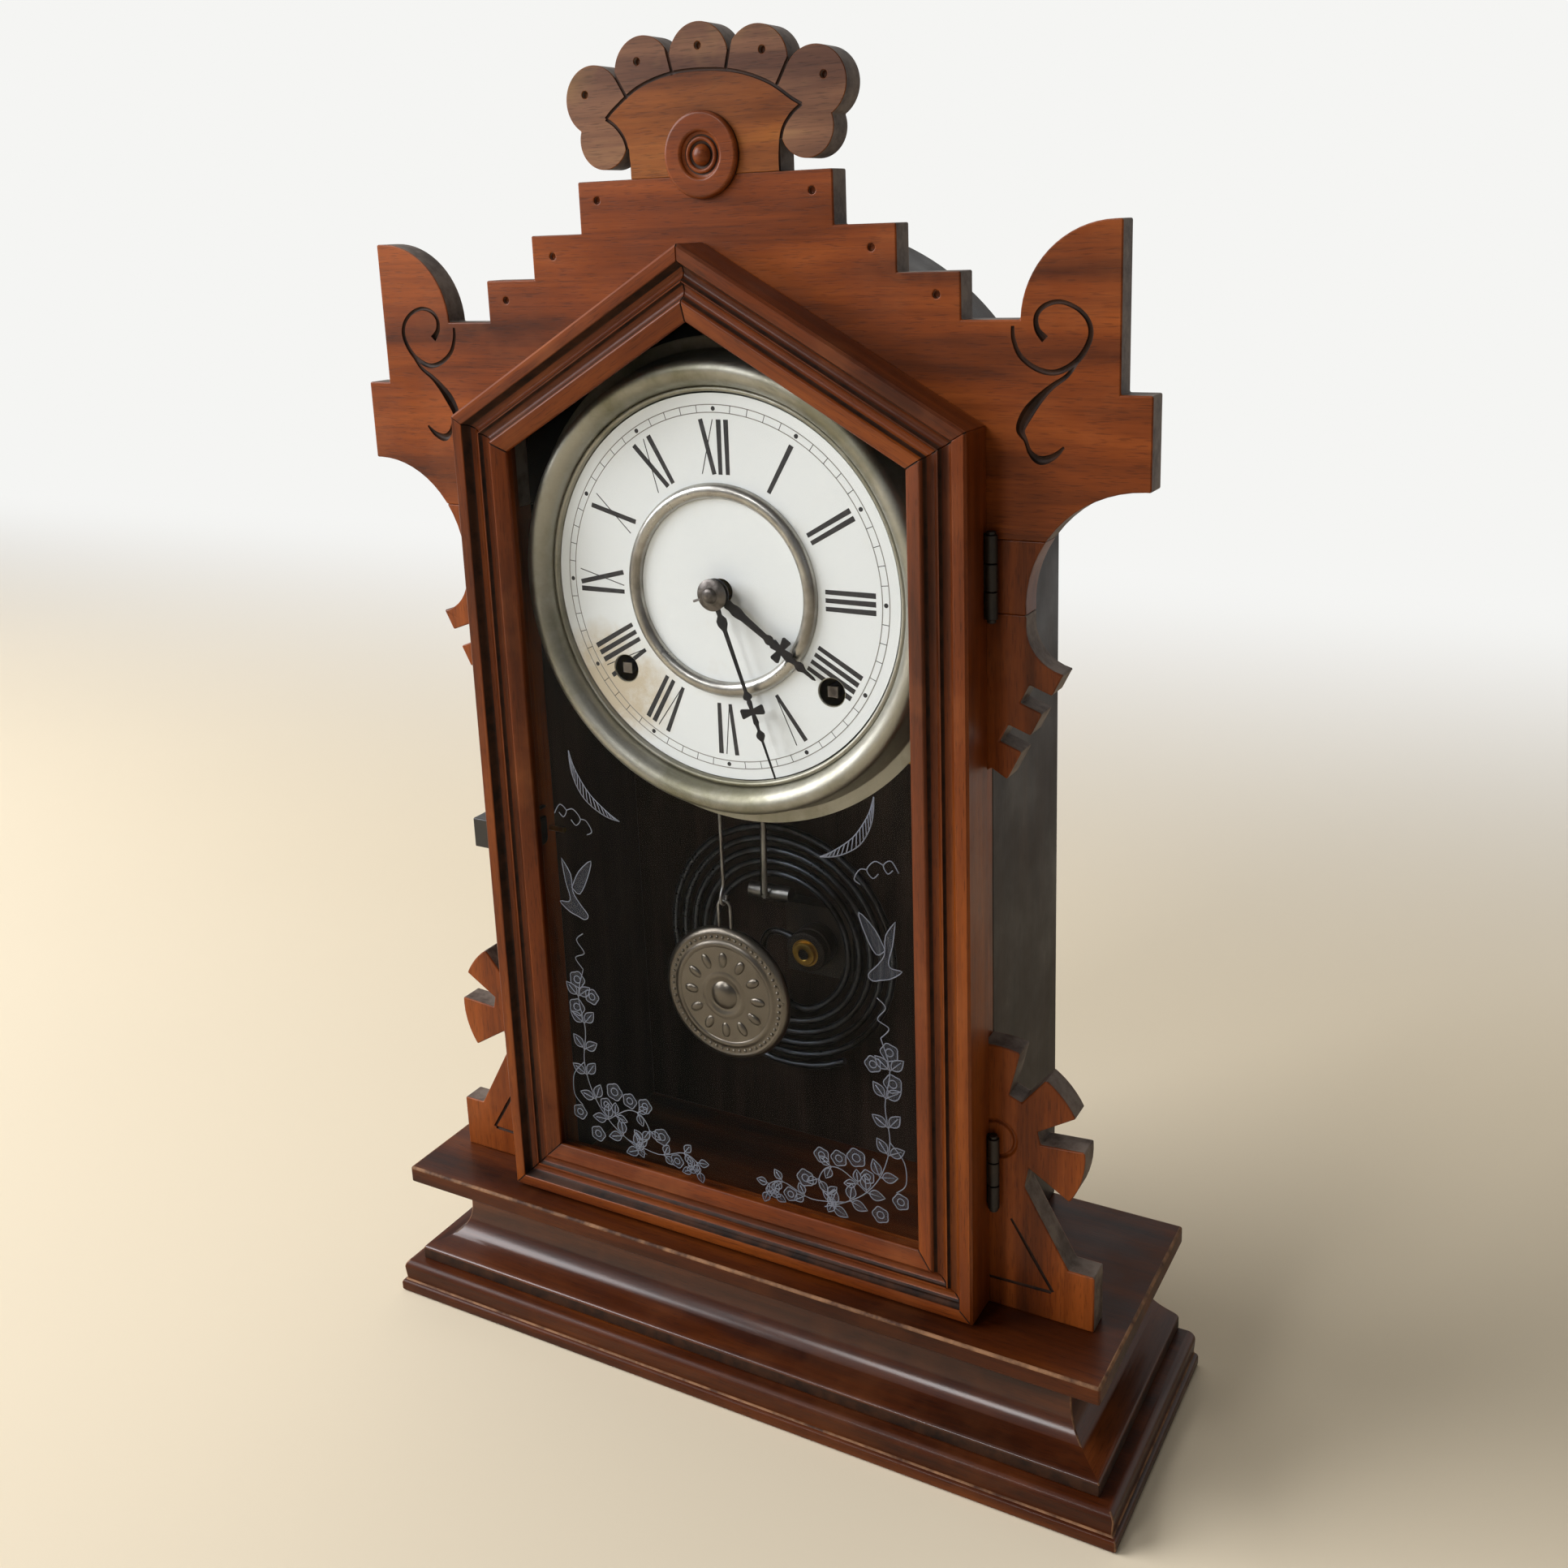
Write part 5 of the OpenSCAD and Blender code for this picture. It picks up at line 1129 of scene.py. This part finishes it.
class CLOCK_OT_pendulum(bpy.types.Operator):
    """Presses the ornamented bob and bends the rod with its hook"""
    bl_idname = "shelf_clock.pendulum"
    bl_label = "Pendulum"

    def execute(self, context):
        x, z = BOB
        section = [(0, 60.9), (2.6, 60.7), (4.6, 59.9), (5.2, 59.3), (6.2, 59.3), (6.9, 59.8), (7.8, 59.9),
                   (8.7, 59.6), (9.4, 59.4), (17.2, 59.0), (18.0, 58.9), (18.6, 59.3), (19.4, 59.3),
                   (20.0, 58.8), (20.8, 58.5), (22.3, 58.4), (22.9, 58.7), (23.7, 58.5), (24.5, 57.8),
                   (25.0, 56.9), (25.0, 56.1), (24.4, 55.2), (21.0, 53.6), (14.0, 52.4), (0, 52.0)]
        bob = turned(section, BOB, 96)
        ovals = circled(small_dome((1.7, 0.9, 2.9), at(x, 59.1, z + 13.4)), 12, BOB)
        beads = circled(small_dome((0.62, 0.5, 0.62), at(x, 58.45, z + 21.6)), 56, BOB)
        hand_over(join([ovals, beads, bob]), "pendulum_bob_pressed", "pendulum", "brass", "silvered",
                  "pendulum_bob", shade=40)
        loop = [(-2.4, 23.5), (-2.4, 33.0), (-1.6, 34.4), (0, 34.8), (1.6, 34.4), (2.4, 33.0), (2.4, 23.5)]
        loop = line([at(x + p, PENDULUM, z + q) for p, q in loop], 0.55)
        hand_over(loop, "bob_loop", "pendulum", "steel", "steel", shade=50)
        hook = [(0, 46), (0, 40.5), (1.2, 38.4), (2.0, 36.4), (1.5, 34.4), (0, 33.6), (-1.5, 34.4),
                (-2.0, 36.2)]
        hook = [(0, STRIP_TOP - 26 - z), *flowing(hook, 4)]
        wire = line([at(x, PENDULUM + p, z + q) for p, q in hook], 0.6)
        spring = box(at(x, PENDULUM, STRIP_TOP - 13), (0.0002, 0.0036, 0.03))
        edit(spring)
        bpy.ops.mesh.subdivide(number_cuts=3)
        deselect()
        roll = line([at(x, PENDULUM - 1.8, STRIP_TOP), at(x, PENDULUM + 1.8, STRIP_TOP)], 0.3)
        hand_over(join([spring, roll, wire]), "pendulum_rod_bent", "pendulum", "steel", "steel",
                  "pendulum_rod", shade=40)
        return {"FINISHED"}


# ---------------------------------------------------------------- works that show as they are

PLAIN = {
    "brass": ["latch_keeper", "dial_tacks", "back_plate", "front_plate", "pillar_nuts", "suspension_post",
              "time_second_wheel", "centre_arbor", "third_wheel", "escape_wheel", "minute_wheel",
              "hour_wheel", "strike_second_wheel", "strike_cam_wheel", "fly", "count_wheel"],
    "steel": ["pillars", "verge"],
    "spring": ["mainsprings"],
}


class CLOCK_OT_works(bpy.types.Operator):
    """Gives the movement and the small fittings their metals"""
    bl_idname = "shelf_clock.works"
    bl_label = "Works and fittings"

    def execute(self, context):
        for side, body in (("time", "time_main"), ("strike", "strike_main")):
            dress(side + "_main_wheel", "_turned", body, "brass", ["brass", "gunmetal"],
                  painted=[(1, lambda face: face.center.y < at(0, PLATE_FRONT, 0).y)])
        for metal_name, nodes in PLAIN.items():
            for node in nodes:
                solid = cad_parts[node]
                solid.data.materials.clear()
                solid.data.materials.append(finish(metal_name))
        return {"FINISHED"}


# ---------------------------------------------------------------- stage

CAMERA_AT = (0.2650, -0.4489, 0.4006)
# Directions of the picture's right, down and forward
CAMERA_ROWS = ([0.87315, 0.48605, -0.03687], [0.09051, -0.23599, -0.96753], [-0.47897, 0.84147, -0.25005])
CAMERA_LENS = 36.92
CAMERA_SHIFT = (0.0042, -0.0916)
LAMPS = [
    # name, place, what it faces, size, power, colour
    ("key_lamp", (-1.75, -0.85, 1.25), (0, 0, 0.25), 1.5, 72, "#fbfcff"),
    ("window_lamp", (-0.5, -1.6, 1.15), (0, 0, 0.2), 0.42, 8, "#ffffff"),
    ("fill_lamp", (1.2, -1.5, 0.7), (0, 0, 0.25), 1.4, 0.9, "#f4f8ff"),
    ("top_lamp", (-0.2, 0.3, 1.7), (0, 0, 0.3), 1.0, 5, "#ffffff"),
]


class CLOCK_OT_stage(bpy.types.Operator):
    """Lays the floor, hangs the lamps and sets the camera"""
    bl_idname = "shelf_clock.stage"
    bl_label = "Stage"

    def execute(self, context):
        scene = context.scene
        scene.view_settings.view_transform = "Standard"
        deselect()
        bpy.ops.mesh.primitive_plane_add(size=1, location=(0, -3.6, 0))
        floor = context.object
        floor.scale = (24, 12, 1)
        settle(floor)
        corners = floor.data.vertices
        pick_parts(floor, "EDGE", lambda edge: all(corners[v].co.y > 2 for v in edge.vertices))
        bpy.ops.mesh.extrude_region_move(TRANSFORM_OT_translate={"value": (0, 0, 4)})
        deselect()
        modify(floor, "BEVEL", width=1.2, segments=16, limit_method="ANGLE")
        smooth(floor, 60)
        floor.name = "floor"
        made, tree, shader, place = start("pale painted board", roughness=0.9)
        colour = (*scene.shelf_clock_colours.floor, 1)
        grain = add(tree, "TexNoise", {"Scale": 3.0, "Detail": 2.0}, {"Vector": place})
        darker = (*[c * 0.97 for c in colour[:3]], 1)
        soft = add(tree, "Mix", {"data_type": "RGBA", 6: colour, 7: darker}, {0: grain})
        feed(shader, {"Base Color": soft})
        # The wall behind the floor shows as plain white to the eye and in reflections, and lights nothing
        away = add(tree, "SeparateXYZ", links={0: place})
        wall = add(tree, "MapRange", {"From Min": 0.25, "From Max": 1.3, "interpolation_type": "SMOOTHSTEP"},
                   {"Value": away.outputs["Y"]})
        ray = add(tree, "LightPath")
        seen = add(tree, "Math", {"operation": "ADD"},
                   {0: ray.outputs["Is Camera Ray"], 1: ray.outputs["Is Glossy Ray"]})
        seen = add(tree, "Math", {"operation": "ADD", "use_clamp": True},
                   {0: seen, 1: ray.outputs["Is Transmission Ray"]})
        share = add(tree, "Math", {"operation": "MULTIPLY"}, {0: seen, 1: wall})
        glow = add(tree, "Emission", {"Color": (*tone("#f5f5f3"), 1), "Strength": 1.0})
        both = add(tree, "MixShader", links={0: share, 1: shader, 2: glow})
        feed(tree.nodes["Material Output"], {"Surface": both})
        floor.data.materials.append(made)
        for name, place, aim, size, power, colour in LAMPS:
            deselect()
            bpy.ops.object.light_add(type="AREA", location=place)
            lamp = context.object
            lamp.name = name
            lamp.rotation_euler = (Vector(aim) - Vector(place)).to_track_quat("-Z", "Y").to_euler()
            lamp.data.size = size
            lamp.data.energy = power
            lamp.data.color = tone(colour)
        world = scene.world or bpy.data.worlds.new("studio")
        scene.world = world
        world.use_nodes = True
        sky = world.node_tree.nodes["Background"]
        sky.inputs["Color"].default_value = (*tone("#f4f6fa"), 1)
        sky.inputs["Strength"].default_value = 0.14
        bpy.ops.object.camera_add(location=CAMERA_AT)
        camera = context.object
        right, down, forward = (Vector(row) for row in CAMERA_ROWS)
        camera.rotation_euler = Matrix((right, -down, -forward)).transposed().to_euler()
        camera.data.sensor_width = 36
        camera.data.lens = CAMERA_LENS
        camera.data.shift_x, camera.data.shift_y = CAMERA_SHIFT
        scene.camera = camera
        deselect()
        return {"FINISHED"}


# ---------------------------------------------------------------- panel and run

OPERATORS = (
    CLOCK_OT_stage, CLOCK_OT_base, CLOCK_OT_case, CLOCK_OT_gable, CLOCK_OT_brackets, CLOCK_OT_crest,
    CLOCK_OT_roundel, CLOCK_OT_door, CLOCK_OT_glass, CLOCK_OT_stencil, CLOCK_OT_fittings, CLOCK_OT_dial,
    CLOCK_OT_hands, CLOCK_OT_gong, CLOCK_OT_pendulum, CLOCK_OT_works,
)


class CLOCK_PT_panel(bpy.types.Panel):
    """Lists the steps that dress the clock"""
    bl_idname = "CLOCK_PT_panel"
    bl_label = "Shelf clock"
    bl_space_type = "VIEW_3D"
    bl_region_type = "UI"
    bl_category = "Shelf clock"

    def draw(self, context):
        for group in (context.scene.shelf_clock_sizes, context.scene.shelf_clock_colours):
            for name in group.bl_rna.properties.keys():
                if name not in ("rna_type", "name"):
                    self.layout.prop(group, name)
        for operator in OPERATORS:
            self.layout.operator(operator.bl_idname)


CLASSES = (ShelfClockSizes, ShelfClockColours, *OPERATORS, CLOCK_PT_panel)


def register():
    for each in CLASSES:
        bpy.utils.register_class(each)
    bpy.types.Scene.shelf_clock_sizes = PointerProperty(type=ShelfClockSizes)
    bpy.types.Scene.shelf_clock_colours = PointerProperty(type=ShelfClockColours)


def unregister():
    del bpy.types.Scene.shelf_clock_colours
    del bpy.types.Scene.shelf_clock_sizes
    for each in reversed(CLASSES):
        bpy.utils.unregister_class(each)


def main():
    register()
    for operator in OPERATORS:
        group, name = operator.bl_idname.split(".")
        getattr(getattr(bpy.ops, group), name)()


if __name__ == "__main__":
    main()
